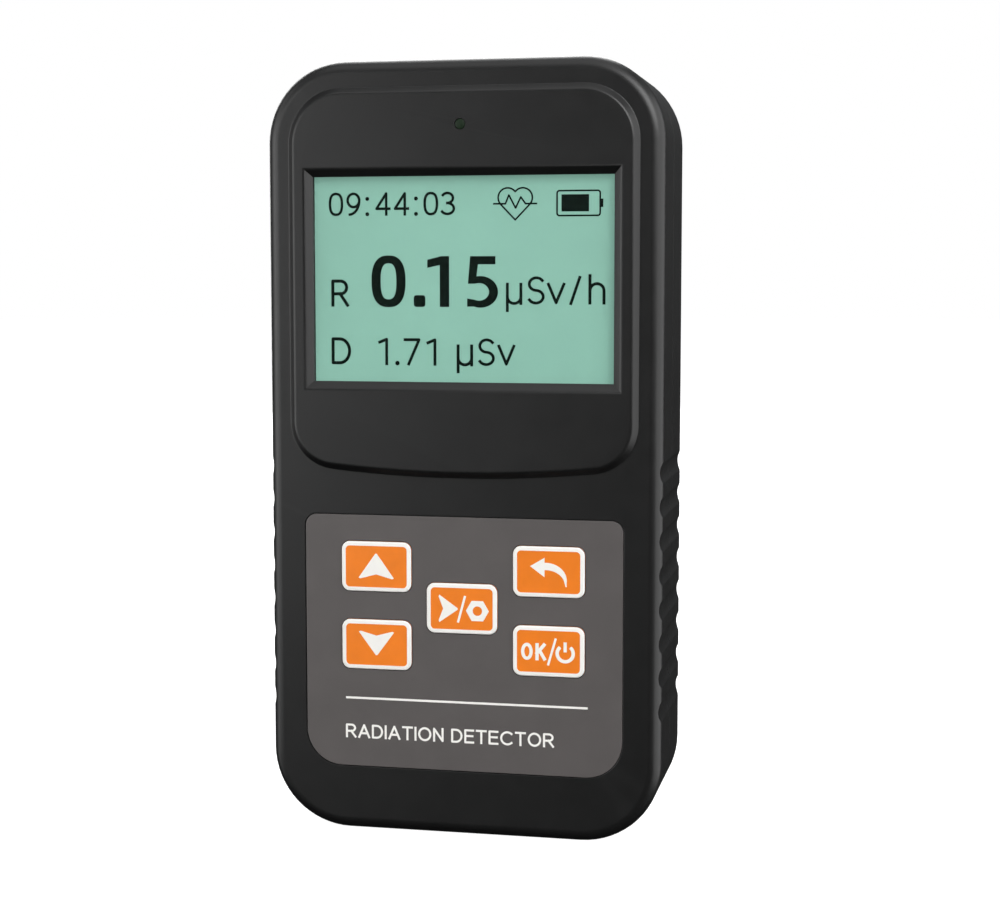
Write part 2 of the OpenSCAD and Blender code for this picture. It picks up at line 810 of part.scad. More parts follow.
socket_spot = [8, 82];
plug_back_y = socket_spot[1] - 3.6;

module lead(side) {
    wire(socket_spot[0] + side, cell_top + 1.1, cell_back_z + 3, plug_back_y,
        board_back_z - 2.4, 0.6, 1.3);
}

module battery_lead_red() color("#b3221d") lead(-1);

module battery_lead_black() color("#181818") lead(1);

module battery_plug() {
    color("#ece8dc") block(4.6, 3.4, socket_spot[0], plug_back_y + 1.7,
        board_back_z - 3.6, board_back_z - 1.1);
}

module battery_socket() {
    s = socket_spot;
    color("#f2efe6") difference() {
        block(6, 5, s[0], s[1], board_back_z - 4.4, board_back_z);
        block(4.7, 4, s[0], s[1] - 1.8, board_back_z - 3.7, board_back_z - 1);
        block(2.6, 6, s[0], s[1] - 4, board_back_z - 5, board_back_z - 3);
    }
}

// ---------------------------------------------------------------- charging socket

usb_mouth = 0.2;

module usb_shell() {
    color(tinned) difference() {
        union() {
            along_y(usb_mouth, usb_mouth + usb_len) usb_outline(-0.01);
            for (x = [-1, 1])
                block(1, 1.6, x * (usb_w / 2 - 0.6), 5.2, board_back_z - 1.2, board_back_z);
        }
        along_y(usb_mouth - 1, usb_mouth + usb_len - 0.6) usb_outline(-usb_wall);
    }
}

module usb_tongue() {
    color("#141414") difference() {
        union() {
            along_y(usb_mouth + usb_len - 2.2, usb_mouth + usb_len - 0.61) usb_outline(-usb_wall - 0.02);
            block(6.7, 5, 0, usb_mouth + 3.2, usb_z - 0.35, usb_z + 0.35);
        }
        block(20, 1, 0, usb_mouth, usb_z - 2, usb_z + 2);
    }
}

// ---------------------------------------------------------------- nodes

upright() {
    front_housing();
    rear_housing();
    display_window();
    window_foam();
    lcd_glass();
    lcd_backlight();
    lcd_frame();
    lcd_ribbon();
    ribbon_connector();
    keypad_film();
    key(0);  // up_key
    key(1);  // down_key
    key(2);  // select_key
    key(3);  // back_key
    key(4);  // power_key
    switch_stem(0);  // up_switch_stem
    switch_stem(1);  // down_switch_stem
    switch_stem(2);  // select_switch_stem
    switch_stem(3);  // back_switch_stem
    switch_stem(4);  // power_switch_stem
    switch_bodies();
    main_board();
    microcontroller();
    charger_chip();
    power_coil();
    crystal();
    hv_transformer();
    hv_capacitors();
    buzzer();
    buzzer_gasket();
    status_led();
    light_pipe();
    motor_case();
    motor_boot();
    motor_shaft();
    motor_weight();
    counter_tube();
    tube_caps();
    tube_shield();
    tube_clips();
    battery_cell();
    battery_tape();
    battery_tab_board();
    battery_lead_red();
    battery_lead_black();
    battery_plug();
    battery_socket();
    usb_shell();
    usb_tongue();
    threaded_inserts();
    housing_screws();
    board_screws();
    back_label();
}
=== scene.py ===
"""Looks of the handheld radiation meter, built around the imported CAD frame.

Shapes are drawn with the meter laid on its back, in millimetres: x across, y along from the lower
end, d rising towards the display face. world() stands a drawn point up and turns it into metres.
"""
import math

import bmesh
import bpy
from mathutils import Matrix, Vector
from mathutils.geometry import delaunay_2d_cdt

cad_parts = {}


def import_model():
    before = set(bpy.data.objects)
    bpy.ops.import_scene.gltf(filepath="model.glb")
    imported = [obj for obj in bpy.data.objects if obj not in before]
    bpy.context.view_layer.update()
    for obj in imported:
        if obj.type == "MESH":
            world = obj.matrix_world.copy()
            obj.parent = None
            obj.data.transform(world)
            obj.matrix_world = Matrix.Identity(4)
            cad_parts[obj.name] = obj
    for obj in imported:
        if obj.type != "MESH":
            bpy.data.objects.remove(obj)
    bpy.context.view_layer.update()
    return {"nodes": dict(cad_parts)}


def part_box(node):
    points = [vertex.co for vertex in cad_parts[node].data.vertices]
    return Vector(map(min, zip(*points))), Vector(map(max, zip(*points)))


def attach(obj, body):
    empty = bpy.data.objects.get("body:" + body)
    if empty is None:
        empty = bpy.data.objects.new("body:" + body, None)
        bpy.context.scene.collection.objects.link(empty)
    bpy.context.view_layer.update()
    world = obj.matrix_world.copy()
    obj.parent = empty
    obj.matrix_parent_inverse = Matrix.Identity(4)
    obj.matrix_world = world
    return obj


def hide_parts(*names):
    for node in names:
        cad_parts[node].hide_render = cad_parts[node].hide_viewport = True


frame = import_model()

MM = 0.001


def span(node):
    """(x0, x1), (y0, y1), (d0, d1) of a CAD node, in the drawing's millimetres."""
    low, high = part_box(node)
    return (low.x / MM, high.x / MM), (low.z / MM, high.z / MM), (-high.y / MM, -low.y / MM)


# ---- sizes, from the frame

CASE_X, CASE_Y, FRONT_D = span("front_housing")
REAR_D = span("rear_housing")[2]
FILM_X, FILM_Y, FILM_D = span("keypad_film")
PANE_X, PANE_Y, PANE_D = span("display_window")
GLASS_X, GLASS_Y, GLASS_D = span("lcd_glass")
STEM_D = span("up_switch_stem")[2]
BOARD_D = span("main_board")[2]
PIPE_D = span("light_pipe")[2]
USB_X, USB_Y, USB_D = span("usb_shell")
SCREW_D = span("housing_screws")[2]
BOARD_SCREW_D = span("board_screws")[2]
LABEL_X, LABEL_Y, LABEL_D = span("back_label")

HALF_W = CASE_X[1]
CASE_H = CASE_Y[1]
BEZEL_TOP_D = FRONT_D[1]
FACE_D = FILM_D[1]
SEAM_D = FRONT_D[0]
BACK_D = REAR_D[0]
WALL = 2.0
INNER_FRONT_D = FACE_D - WALL
INNER_BACK_D = BACK_D + WALL
CORNER_R = 12.5
EDGE_R = 2.0
SEAM_DEPTH = 0.15

# The rear shell's lip, which stands inside the front shell's thinner rim
LIP_H = 1.1
LIP_T = 0.95
RIM_T = 1.0
RIM_TOP_D = SEAM_D + LIP_H + 0.1

# Quarter-round inside corner of radius 1: (distance off the wall, distance off the flat)
COVE = ((0, 1.0), (0.076, 0.617), (0.293, 0.293), (0.617, 0.076), (1.0, 0.0))
REAR_COVE_R = 0.7

# Bezel: radii and bow of its lower edge at its foot; its slope ends TOP_INSET further in
BEZEL_RISE = BEZEL_TOP_D - FACE_D
BEZEL_W = 54.6
BEZEL_TOP = 115.8
BEZEL_BOTTOM = 56.2
BEZEL_R = 8.5
BEZEL_LOW_R = 7.4
BEZEL_BOW_R = 200.0
TOP_INSET = 0.845

# Display opening: the pane reaches PANE_MARGIN beyond it, and its rim slopes over RIM
PANE_MARGIN = 1.65
VIEW_X = PANE_X[1] - PANE_MARGIN
VIEW_Y = (PANE_Y[0] + PANE_MARGIN, PANE_Y[1] - PANE_MARGIN)
RIM = 1.2
INK_D = GLASS_D[1]
INK_T = 0.02

# Keypad: keys' flanges stand out by FLANGE; no corner's radius is under KEY_INSIDE_R
KEYS = ("up", "down", "select", "back", "power")
FILM_LOW_R, FILM_HIGH_R = 5.7, 1.8
FILM_GAP = 0.1
KEY_SPAN = {k: span(k + "_key") for k in KEYS}
KEY_TOP_D = KEY_SPAN["up"][2][1]
KEY_R = 1.3
KEY_INSIDE_R = 0.45
KEY_EDGE_R = 0.2
KEY_GAP = 0.12
KEY_WELL_GAP = 0.15
FLANGE = 0.9
FLANGE_T = 0.7

# Printing: its height above the surface, how far it is sunk in, and a key's border
PRINT_T = 0.014
PRINT_SINK = 0.03
BORDER_W = 0.66

# Grips: round-bottomed scoops along both sides
GRIP_FIRST = 20.75
GRIP_PITCH = 5.25
GRIP_COUNT = 8
GRIP_DEPTH = 0.48
GRIP_R = 2.63
GRIP_SOFTEN = 0.12

# Screw posts, the status light and the ring of sound holes
BOSS_INSET = 7.6
BOSS_SPOTS = [(side * (HALF_W - BOSS_INSET), y)
              for side in (-1, 1) for y in (BOSS_INSET, CASE_H - BOSS_INSET)]
STANDOFF_SPOTS = [(side * x, y) for side in (-1, 1)
                  for x, y in ((24.5, 20.0), (24.5, 58.6), (12.0, CASE_H - 9.5))]
SCREW_SEAT_D = SCREW_D[0] + 1.7
SCREW_WELL_R = 2.7
LED_SPOT = (0.0, CASE_H - 10)
PIPE_FLANGE_D = INNER_FRONT_D - 2
SOUND_SPOT = (15.0, 92.0)

# Charging port: an oval about USB_MID_D
USB_MID_D = (USB_D[0] + USB_D[1]) / 2
USB_R = (USB_D[1] - USB_D[0]) / 2
USB_HALF = USB_X[1] - USB_R


# ---- outlines

def world(x, y, d):
    """Where a drawn point stands, in metres."""
    return Vector((x, -d, y)) * MM


def arc(cx, cy, rx, ry, start, end, steps):
    """Points on an ellipse from one angle to another, in degrees."""
    angles = [math.radians(start + (end - start) * i / steps) for i in range(steps + 1)]
    return [(cx + rx * math.cos(a), cy + ry * math.sin(a)) for a in angles]


def circle(spot, r, steps=32):
    return arc(spot[0], spot[1], r, r, 0, 360 * (1 - 1 / steps), steps - 1)


def superellipse(cx, cy, rx, ry, power, steps=48):
    """A closed oval with fuller corners than an ellipse; its first point comes again last."""
    points = []
    for i in range(steps + 1):
        a = 2 * math.pi * (i % steps) / steps
        c, s = math.cos(a), math.sin(a)
        points.append((cx + rx * math.copysign(abs(c) ** (2 / power), c),
                       cy + ry * math.copysign(abs(s) ** (2 / power), s)))
    return points


def rectangle(x0, x1, y0, y1):
    return [(x0, y0), (x1, y0), (x1, y1), (x0, y1)]


def round_rect(x0, x1, y0, y1, low_r, high_r=None, steps=8):
    """A rectangle with round corners, of another radius along the top where high_r is given."""
    high_r = low_r if high_r is None else high_r
    return (arc(x1 - low_r, y0 + low_r, low_r, low_r, -90, 0, steps)
            + arc(x1 - high_r, y1 - high_r, high_r, high_r, 0, 90, steps)
            + arc(x0 + high_r, y1 - high_r, high_r, high_r, 90, 180, steps)
            + arc(x0 + low_r, y0 + low_r, low_r, low_r, 180, 270, steps))


def turned(points, spot, degrees):
    """The points turned about the origin, then moved to spot."""
    c, s = math.cos(math.radians(degrees)), math.sin(math.radians(degrees))
    return [(spot[0] + x * c - y * s, spot[1] + x * s + y * c) for x, y in points]


def soft_min(a, b, width):
    """The smaller of a and b, with the change from one to the other rounded over width."""
    h = max(width - abs(a - b), 0.0) / width
    return min(a, b) - h * h * width / 4


def grip_limit(y):
    """How far out the side may reach at height y, before the scoops' edges are softened."""
    n = min(max(round((y - GRIP_FIRST) / GRIP_PITCH), 0), GRIP_COUNT - 1)
    off = y - GRIP_FIRST - n * GRIP_PITCH
    return HALF_W - GRIP_DEPTH + GRIP_R - math.sqrt(max(GRIP_R ** 2 - off ** 2, 0.0))


def side_heights():
    """Rows up the straight side: close together in each scoop, and one on each crest."""
    half = [0.0, 0.35, 0.7, 1.0, 1.2, 1.35, 1.48, 1.6, 1.75]
    offsets = sorted({s * o for s in (-1, 1) for o in half})
    rows = [CORNER_R + 3]
    for n in range(GRIP_COUNT):
        centre = GRIP_FIRST + n * GRIP_PITCH
        rows += [centre + o for o in offsets]
        rows.append(centre + GRIP_PITCH / 2)
    return rows + [70, 82, 94, CASE_H - CORNER_R - 3]


SIDE_ROWS = side_heights()


def case_outline(inset, follow=False):
    """The case's outline drawn in by inset. With follow, the scoops are drawn in with it."""
    r = CORNER_R - inset
    cx, y0, y1 = HALF_W - CORNER_R, CORNER_R, CASE_H - CORNER_R
    drop = inset if follow else 0.0
    sides = [(soft_min(HALF_W - inset, grip_limit(y) - drop, GRIP_SOFTEN), y) for y in SIDE_ROWS]
    bottom = [(x, inset) for x in (-12, -6, 0, 6, 12)]
    top = [(x, CASE_H - inset) for x in (12, 6, 0, -6, -12)]
    return (bottom + arc(cx, y0, r, r, -90, 0, 16) + sides + arc(cx, y1, r, r, 0, 90, 16) + top
            + arc(-cx, y1, r, r, 90, 180, 16) + [(-x, y) for x, y in reversed(sides)]
            + arc(-cx, y0, r, r, 180, 270, 16))


def bezel_outline(inset):
    """The bezel's outline drawn in by inset: round corners and a lower edge bowed outwards."""
    r, low_r = BEZEL_R - inset, BEZEL_LOW_R - inset
    cx, low_cx = BEZEL_W / 2 - BEZEL_R, BEZEL_W / 2 - BEZEL_LOW_R
    reach = BEZEL_BOW_R - BEZEL_LOW_R
    tilt = math.degrees(math.asin(low_cx / reach))
    bow_y = BEZEL_BOTTOM + BEZEL_BOW_R
    low_y = bow_y - reach * math.cos(math.radians(tilt))
    high_y = BEZEL_TOP - BEZEL_R
    bow = BEZEL_BOW_R - inset
    return (arc(cx, high_y, r, r, 0, 90, 16) + arc(-cx, high_y, r, r, 90, 180, 16)
            + arc(-low_cx, low_y, low_r, low_r, 180, 270 - tilt, 14)
            + arc(0, bow_y, bow, bow, 270 - tilt * 0.9, 270 + tilt * 0.9, 24)
            + arc(low_cx, low_y, low_r, low_r, 270 + tilt, 360, 14))


def grown(box_x, box_y, grow, low_r, high_r=None, steps=8):
    """The outline of a node's box, grown by a little and with round corners."""
    return round_rect(box_x[0] - grow, box_x[1] + grow, box_y[0] - grow, box_y[1] + grow,
                      low_r, high_r, steps)


def film_outline(grow):
    return grown(FILM_X, FILM_Y, grow, FILM_LOW_R + grow, FILM_HIGH_R + grow, 12)


def key_outline(key, grow):
    """A key's outline above its flange, grown by a little."""
    x, y, _ = KEY_SPAN[key]
    return grown(x, y, grow - FLANGE, max(KEY_R + grow, KEY_INSIDE_R))


def view_outline(grow):
    return rectangle(-VIEW_X - grow, VIEW_X + grow, VIEW_Y[0] - grow, VIEW_Y[1] + grow)


def stadium(cx, cy, half_w, r):
    return arc(cx + half_w, cy, r, r, -90, 90, 12) + arc(cx - half_w, cy, r, r, 90, 270, 12)


def rounding(inset, d, r, direction, steps):
    """(inset, d) steps of a quarter-round edge, from the flat inwards to the upright wall."""
    angles = [math.pi / 2 * i / steps for i in range(steps + 1)]
    return [(inset + r * (1 - math.sin(a)), d + direction * r * (1 - math.cos(a)))
            for a in angles]


# ---- mesh building

def counter_clockwise(points):
    area = sum(a[0] * b[1] - b[0] * a[1] for a, b in zip(points, points[1:] + points[:1]))
    return area > 0


class Build:
    """Collects rings of points, the walls between them and the flats that close them."""

    def __init__(self):
        self.points = []
        self.faces = []

    def loop(self, points):
        start = len(self.points)
        self.points += points
        return list(range(start, len(self.points)))

    def ring(self, outline, d):
        return self.loop([world(x, y, d) for x, y in outline])

    def rounds(self, spot, profile, steps=32):
        """Round rings about a spot, one for each (radius, d)."""
        return [self.ring(circle(spot, r, steps), d) for r, d in profile]

    def wall(self, rings, closed=False):
        """Quads from ring to ring, and from the last to the first where closed."""
        for a, b in zip(rings, rings[1:] + (rings[:1] if closed else [])):
            n = len(a)
            self.faces += [(a[i], a[(i + 1) % n], b[(i + 1) % n], b[i]) for i in range(n)]
        return rings

    def flat(self, outer, holes=(), plane=(0, 2)):
        """Triangles across outer, less the holes, all rings lying in one plane."""
        rings = [outer, *holes]
        order = [i for r in rings for i in r]
        spots = [Vector([self.points[i][axis] for axis in plane]) / MM for i in order]
        areas, start = [], 0
        for r in rings:
            area = list(range(start, start + len(r)))
            start += len(r)
            if not counter_clockwise([spots[i] for i in area]):
                area.reverse()
            areas.append(area)
        _, _, found, origin, _, area_of = delaunay_2d_cdt(spots, [], areas, 0, 1e-6)
        self.faces += [tuple(order[origin[i][0]] for i in triangle)
                       for triangle, ids in zip(found, area_of) if ids and set(ids) == {0}]

    def solid(self, rings, plane=(0, 2)):
        """A closed shape: walls from ring to ring and a flat across each end."""
        self.wall(rings)
        self.flat(rings[0], plane=plane)
        self.flat(rings[-1], plane=plane)

    def slab(self, shapes, holes, d0, d1):
        """A thin solid over the union of flat shapes, less the holes."""
        areas = [s if counter_clockwise(s) else s[::-1] for s in [*shapes, *holes]]
        spots, faces = [], []
        for a in areas:
            faces.append(list(range(len(spots), len(spots) + len(a))))
            spots += [Vector(p) for p in a]
        found, _, triangles, _, _, area_of = delaunay_2d_cdt(spots, [], faces, 0, 1e-5)
        kept = [t for t, ids in zip(triangles, area_of)
                if ids and all(i < len(shapes) for i in ids)]
        used = sorted({i for t in kept for i in t})
        low = dict(zip(used, self.loop([world(found[i].x, found[i].y, d0) for i in used])))
        high = dict(zip(used, self.loop([world(found[i].x, found[i].y, d1) for i in used])))
        edges = set()
        for t in kept:
            self.faces += [tuple(high[i] for i in t), tuple(low[i] for i in reversed(t))]
            edges |= {(t[i], t[(i + 1) % 3]) for i in range(3)}
        self.faces += [(low[a], low[b], high[b], high[a]) for a, b in edges if (b, a) not in edges]

    def block(self, x, y, d):
        """A box over three (low, high) spans."""
        self.solid([self.ring(rectangle(*x, *y), depth) for depth in d])

    def mesh(self, name):
        mesh = bpy.data.meshes.new(name)
        mesh.from_pydata(self.points, [], self.faces)
        edit = bmesh.new()
        edit.from_mesh(mesh)
        loose = [v for v in edit.verts if not v.link_faces]
        bmesh.ops.delete(edit, geom=loose, context="VERTS")
        bmesh.ops.recalc_face_normals(edit, faces=edit.faces)
        edit.to_mesh(mesh)
        edit.free()
        shade(mesh)
        return mesh

    def piece(self, name, finish, slot, replaces=(), body="case"):
        place(self.mesh(name), name, finish, body, replaces)


def shade(mesh):
    """Smooth shading that leaves edges sharp where faces meet at more than 32 degrees."""
    mesh.shade_smooth()
    mesh.set_sharp_from_angle(angle=math.radians(32))


def add_object(name, data):
    added = bpy.data.objects.new(name, data)
    bpy.context.scene.collection.objects.link(added)
    return added


def place(mesh, name, finish, body, replaces=()):
    """Adds a mesh to the scene as a piece that rides on a body."""
    mesh.materials.clear()
    mesh.materials.append(MATERIALS[finish])
    piece = add_object(name, mesh)
    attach(piece, body)
    if replaces:
        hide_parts(*replaces)


def carve(mesh, tool, operation):
    """Joins a closed tool mesh to a closed mesh, or cuts it out, and returns the result."""
    whole, other = add_object("whole", mesh), add_object("tool", tool)
    change = whole.modifiers.new("change", "BOOLEAN")
    change.operation = operation
    change.solver = "EXACT"
    change.object = other
    result = bpy.data.meshes.new_from_object(
        whole.evaluated_get(bpy.context.evaluated_depsgraph_get()))
    for o in (whole, other):
        bpy.data.objects.remove(o)
    result.name = mesh.name
    shade(result)
    return result


# ---- materials

def add_node(tree, kind, inputs=None, **settings):
    """A new shader node with its inputs set or linked."""
    node = tree.nodes.new(kind)
    for name, value in settings.items():
        setattr(node, name, value)
    connect(tree, node, inputs or {})
    return node


def connect(tree, node, inputs):
    """Sets each input to a value, or links it where given the socket of another node."""
    for name, value in inputs.items():
        if isinstance(value, bpy.types.NodeSocket):
            tree.links.new(value, node.inputs[name])
        else:
            node.inputs[name].default_value = value


def blend_colours(tree, factor, a, b):
    mix = add_node(tree, "ShaderNodeMix", {"Factor": factor, "A": a, "B": b}, data_type="RGBA")
    return mix.outputs["Result"]


def material(name, colour, rough, metal=0.0, vary=0.12, vary_mm=6.0, grain_mm=0.2,
             grain=0.0, wear=0.0, rough_vary=0.06, specular=0.5, coat=0.0, transmission=0.0,
             brushed=None, glow=None):
    """A Principled finish: clouded colour, uneven roughness, a fine grain and worn edges.

    grain is the height of the grain in millimetres, and brushed stretches it along one axis.
    """
    made = bpy.data.materials.new(name)
    made.use_nodes = True
    tree = made.node_tree
    shader = tree.nodes["Principled BSDF"]
    where = add_node(tree, "ShaderNodeTexCoord").outputs["Object"]
    if brushed:
        where = add_node(tree, "ShaderNodeMapping",
                         {"Scale": brushed, "Vector": where}).outputs["Vector"]

    def noise(size_mm, detail):
        return add_node(tree, "ShaderNodeTexNoise", {
            "Scale": 1 / (size_mm * MM), "Detail": detail, "Vector": where}).outputs["Fac"]

    def spread(factor, low, high, start=0.3, end=0.7):
        """The factor's run from start to end, as a run from low to high."""
        return add_node(tree, "ShaderNodeMapRange", {
            "From Min": start, "From Max": end, "To Min": low, "To Max": high,
            "Value": factor}).outputs["Result"]

    clouds = spread(noise(vary_mm, 4), 0.0, 1.0)
    low = tuple(c * (1 - vary) for c in colour)
    high = tuple(min(c * (1 + vary), 1.0) for c in colour)
    tint = blend_colours(tree, clouds, (*low, 1), (*high, 1))
    if wear:
        edge = add_node(tree, "ShaderNodeNewGeometry").outputs["Pointiness"]
        worn = tuple(min(c * 1.6 + 0.02, 1) for c in colour)
        tint = blend_colours(tree, spread(edge, 0.0, wear, 0.52, 0.62),
                                  tint, (*worn, 1))
    patches = noise(vary_mm / 3, 3)
    connect(tree, shader, {
        "Metallic": metal, "Specular IOR Level": specular, "Coat Weight": coat,
        "Coat Roughness": 0.12, "Transmission Weight": transmission, "Base Color": tint,
        "Roughness": spread(patches, max(rough - rough_vary, 0.02),
                            min(rough + rough_vary, 1.0))})
    # Where glow is given, the surface gives off light in its own colour: painted light, since the
    # part is no lamp
    if glow:
        connect(tree, shader, {"Emission Strength": glow, "Emission Color": tint})
    if grain:
        bump = add_node(tree, "ShaderNodeBump", {
            "Strength": 1.0, "Distance": grain * MM, "Height": noise(grain_mm, 2)})
        connect(tree, shader, {"Normal": bump.outputs["Normal"]})
    return made


def srgb(r, g, b):
    """Linear colour from a display colour in 0 to 255."""
    return tuple(((v / 255 + 0.055) / 1.055) ** 2.4 if v > 10 else v / 255 / 12.92
                 for v in (r, g, b))


# Each finish: display colour, roughness, and what else material() is told
FINISHES = {
    "case_plastic": ((21, 21, 21), 0.36, dict(
        vary=0.1, vary_mm=9, grain=0.004, wear=0.1, rough_vary=0.02)),
    "keypad_film": ((87, 83, 82), 0.5, dict(vary=0.05, vary_mm=5, grain_mm=0.16, grain=0.004)),
    "key_orange": ((243, 128, 24), 0.42, dict(
        vary=0.05, vary_mm=4, grain_mm=0.12, grain=0.002, wear=0.1)),
    "white_print": ((248, 246, 241), 0.5, dict(
        vary=0.02, vary_mm=1.5, grain_mm=0.08, grain=0.002)),
    "display_ink": ((5, 20, 14), 0.6, dict(vary=0.15, vary_mm=3, specular=0.05)),
    # The display's glow is painted light: it lifts the green and fills the shade that the window's
    # edges cast on it
    "display_green": ((107, 143, 131), 0.45, dict(
        vary=0.03, vary_mm=18, grain_mm=0.22, grain=0.0006, specular=0.2, glow=1.0)),
    "foam_black": ((26, 26, 26), 0.95, dict(vary=0.3, vary_mm=0.5, grain_mm=0.25, grain=0.05)),
    "diffuser_white": ((232, 236, 232), 0.5, dict(vary=0.03)),
    "frame_white": ((216, 219, 220), 0.5, dict(vary=0.04, grain=0.004)),
    "ribbon_amber": ((190, 127, 50), 0.35, dict(vary=0.2, vary_mm=1.2)),
    "connector_ivory": ((228, 221, 200), 0.45, dict(vary=0.05, grain=0.003)),
    "switch_black": ((28, 28, 28), 0.5, dict(vary=0.15, grain=0.004)),
    "switch_can": ((150, 151, 153), 0.35, dict(
        metal=0.9, vary=0.08, grain=0.0003, brushed=(1, 8, 8), wear=0.3)),
    "chip_black": ((30, 30, 32), 0.6, dict(vary=0.15, grain_mm=0.1, grain=0.006)),
    "ferrite_grey": ((66, 66, 69), 0.7, dict(vary=0.2, vary_mm=1, grain_mm=0.12, grain=0.01)),
    "tinned_steel": ((204, 206, 209), 0.28, dict(
        metal=1.0, vary=0.06, grain=0.0003, brushed=(1, 1, 9), wear=0.3)),
    "capacitor_blue": ((48, 110, 178), 0.3, dict(vary=0.1, grain=0.006, grain_mm=0.6)),
    "led_white": ((231, 236, 226), 0.25, dict(vary=0.03, coat=0.5)),
    "light_green": ((12, 34, 12), 0.5, dict(vary=0.1, grain=0.002, specular=0.3)),
    "boot_rubber": ((38, 38, 38), 0.85, dict(vary=0.15, grain=0.01)),
    "shaft_steel": ((190, 192, 195), 0.22, dict(
        metal=1.0, vary=0.05, grain=0.0003, brushed=(9, 1, 1))),
    "weight_grey": ((142, 142, 145), 0.45, dict(
        metal=1.0, vary=0.15, vary_mm=1, grain_mm=0.1, grain=0.008)),
    "tube_glass": ((176, 186, 188), 0.15, dict(metal=0.6, vary=0.08, vary_mm=12, coat=0.8)),
    "shield_tin": ((158, 128, 82), 0.32, dict(metal=1.0, vary=0.08, grain_mm=0.6, grain=0.002)),
    "cell_foil": ((186, 190, 194), 0.38, dict(
        metal=0.9, vary=0.07, vary_mm=8, grain_mm=1.8, grain=0.05)),
    "tape_white": ((230, 226, 212), 0.7, dict(vary=0.05, grain=0.01)),
    "lead_red": ((172, 34, 28), 0.35, dict(vary=0.08, grain=0.003)),
    "lead_black": ((26, 26, 26), 0.35, dict(vary=0.1, grain=0.003)),
    "usb_steel": ((196, 198, 200), 0.25, dict(
        metal=1.0, vary=0.06, vary_mm=2, grain=0.0003, brushed=(1, 1, 6), wear=0.4)),
    "contact_gold": ((226, 182, 96), 0.2, dict(metal=1.0, vary=0.05, vary_mm=0.5)),
    "insert_brass": ((186, 146, 76), 0.3, dict(
        metal=1.0, vary=0.1, vary_mm=1.5, grain=0.004, wear=0.4)),
    "screw_dark": ((118, 119, 122), 0.32, dict(
        metal=1.0, vary=0.12, vary_mm=1.2, grain_mm=0.15, grain=0.004, wear=0.6)),
    "label_grey": ((140, 142, 145), 0.42, dict(vary=0.03, vary_mm=3, grain_mm=0.12, grain=0.003)),
    "label_line": ((44, 45, 47), 0.5, dict(vary=0.05, vary_mm=1)),
}


def clear_pane():
    """Clear acrylic that lamps shine straight through."""
    made = material("clear_window", (0.95, 0.98, 0.965), 0.03, vary=0.012, vary_mm=14,
                    rough_vary=0.015, specular=0.3, transmission=1.0)
    tree = made.node_tree
    through = add_node(tree, "ShaderNodeBsdfTransparent")
    ray = add_node(tree, "ShaderNodeLightPath")
    blend = add_node(tree, "ShaderNodeMixShader", {"Fac": ray.outputs["Is Shadow Ray"]})
    tree.links.new(tree.nodes["Principled BSDF"].outputs["BSDF"], blend.inputs[1])
    tree.links.new(through.outputs["BSDF"], blend.inputs[2])
    connect(tree, tree.nodes["Material Output"], {"Surface": blend.outputs["Shader"]})
    return made


def board_mask():
    """Green solder mask with copper tracks showing faintly through it."""
    made = material("board_green", srgb(22, 84, 44), 0.3, vary=0.06, vary_mm=10, coat=0.4)
    tree = made.node_tree
    shader = tree.nodes["Principled BSDF"]
    mask = shader.inputs["Base Color"].links[0].from_socket
    where = add_node(tree, "ShaderNodeTexCoord").outputs["Object"]
    lay = add_node(tree, "ShaderNodeMapping",
                   {"Rotation": (math.radians(90), 0, 0), "Vector": where})
    tracks = add_node(tree, "ShaderNodeTexBrick", {
        "Scale": 1 / (9 * MM), "Mortar Size": 0.012, "Mortar Smooth": 0.4,
        "Color1": (0, 0, 0, 1), "Color2": (0, 0, 0, 1), "Mortar": (1, 1, 1, 1),
        "Vector": lay.outputs["Vector"]}, offset=0.35)
    copper = (*srgb(38, 108, 58), 1)
    connect(tree, shader, {
        "Base Color": blend_colours(tree, tracks.outputs["Color"], mask, copper)})
    return made


MATERIALS = {name: material(name, srgb(*colour), rough, **rest)
             for name, (colour, rough, rest) in FINISHES.items()}
MATERIALS["clear_window"] = clear_pane()
MATERIALS["board_green"] = board_mask()


# ---- case

def shell_skin(b, face_d, inwards, inner):
    """Rings from a face's edge, round the outer edge, over the seam and along the inner wall.

    inwards is -1 for the front shell and 1 for the rear one. Returns the first and last ring.
    """
    steps = [(EDGE_R + 0.06, face_d, False)]
    steps += [(t, d, False) for t, d in rounding(0, face_d, EDGE_R, inwards, 14)]
    steps += [(0, face_d + inwards * (EDGE_R + 0.15), False)]
    steps += [(t, SEAM_D - inwards * d, True)
              for t, d in ((0, 0.16), (0, 0.09), (0.008, 0.07), (0.03, 0.06),
                           (SEAM_DEPTH, 0.06), (SEAM_DEPTH, 0))]
    steps += [(t, d, False) for t, d in inner]
    rings = b.wall([b.ring(case_outline(t, follow), d) for t, d, follow in steps])
    return rings[0], rings[-1]


def finish_shell(shell, bosses, name, node):
    """Joins the screw bosses to a shell, cuts the charging port and adds the piece."""
    mesh = carve(shell.mesh(name), bosses.mesh("bosses"), "UNION")
    mesh = carve(mesh, port_tool(), "DIFFERENCE")
    place(mesh, name, "case_plastic", "case", [node])


def bezel_profile():
    """(inset, d) up the bezel: a small hollow at its foot, the slope, and a rounded crown."""
    foot = [(-0.11, 0.0), (-0.07, 0.004), (-0.03, 0.016), (0.01, 0.039), (0.045, 0.07)]
    slope_in, slope_up = foot[-1]
    slope = (BEZEL_RISE - slope_up) / (TOP_INSET - slope_in)
    before, after = 0.2, 0.3
    start = (TOP_INSET - before, BEZEL_RISE - before * slope)
    corner, end = (TOP_INSET, BEZEL_RISE), (TOP_INSET + after, BEZEL_RISE)
    crown = []
    for i in range(9):
        t = i / 8
        crown.append(tuple((1 - t) ** 2 * a + 2 * t * (1 - t) * b + t * t * c
                           for a, b, c in zip(start, corner, end)))
    return [(-0.3, 0.0), *foot, *crown, (TOP_INSET + after + 0.06, BEZEL_RISE)]


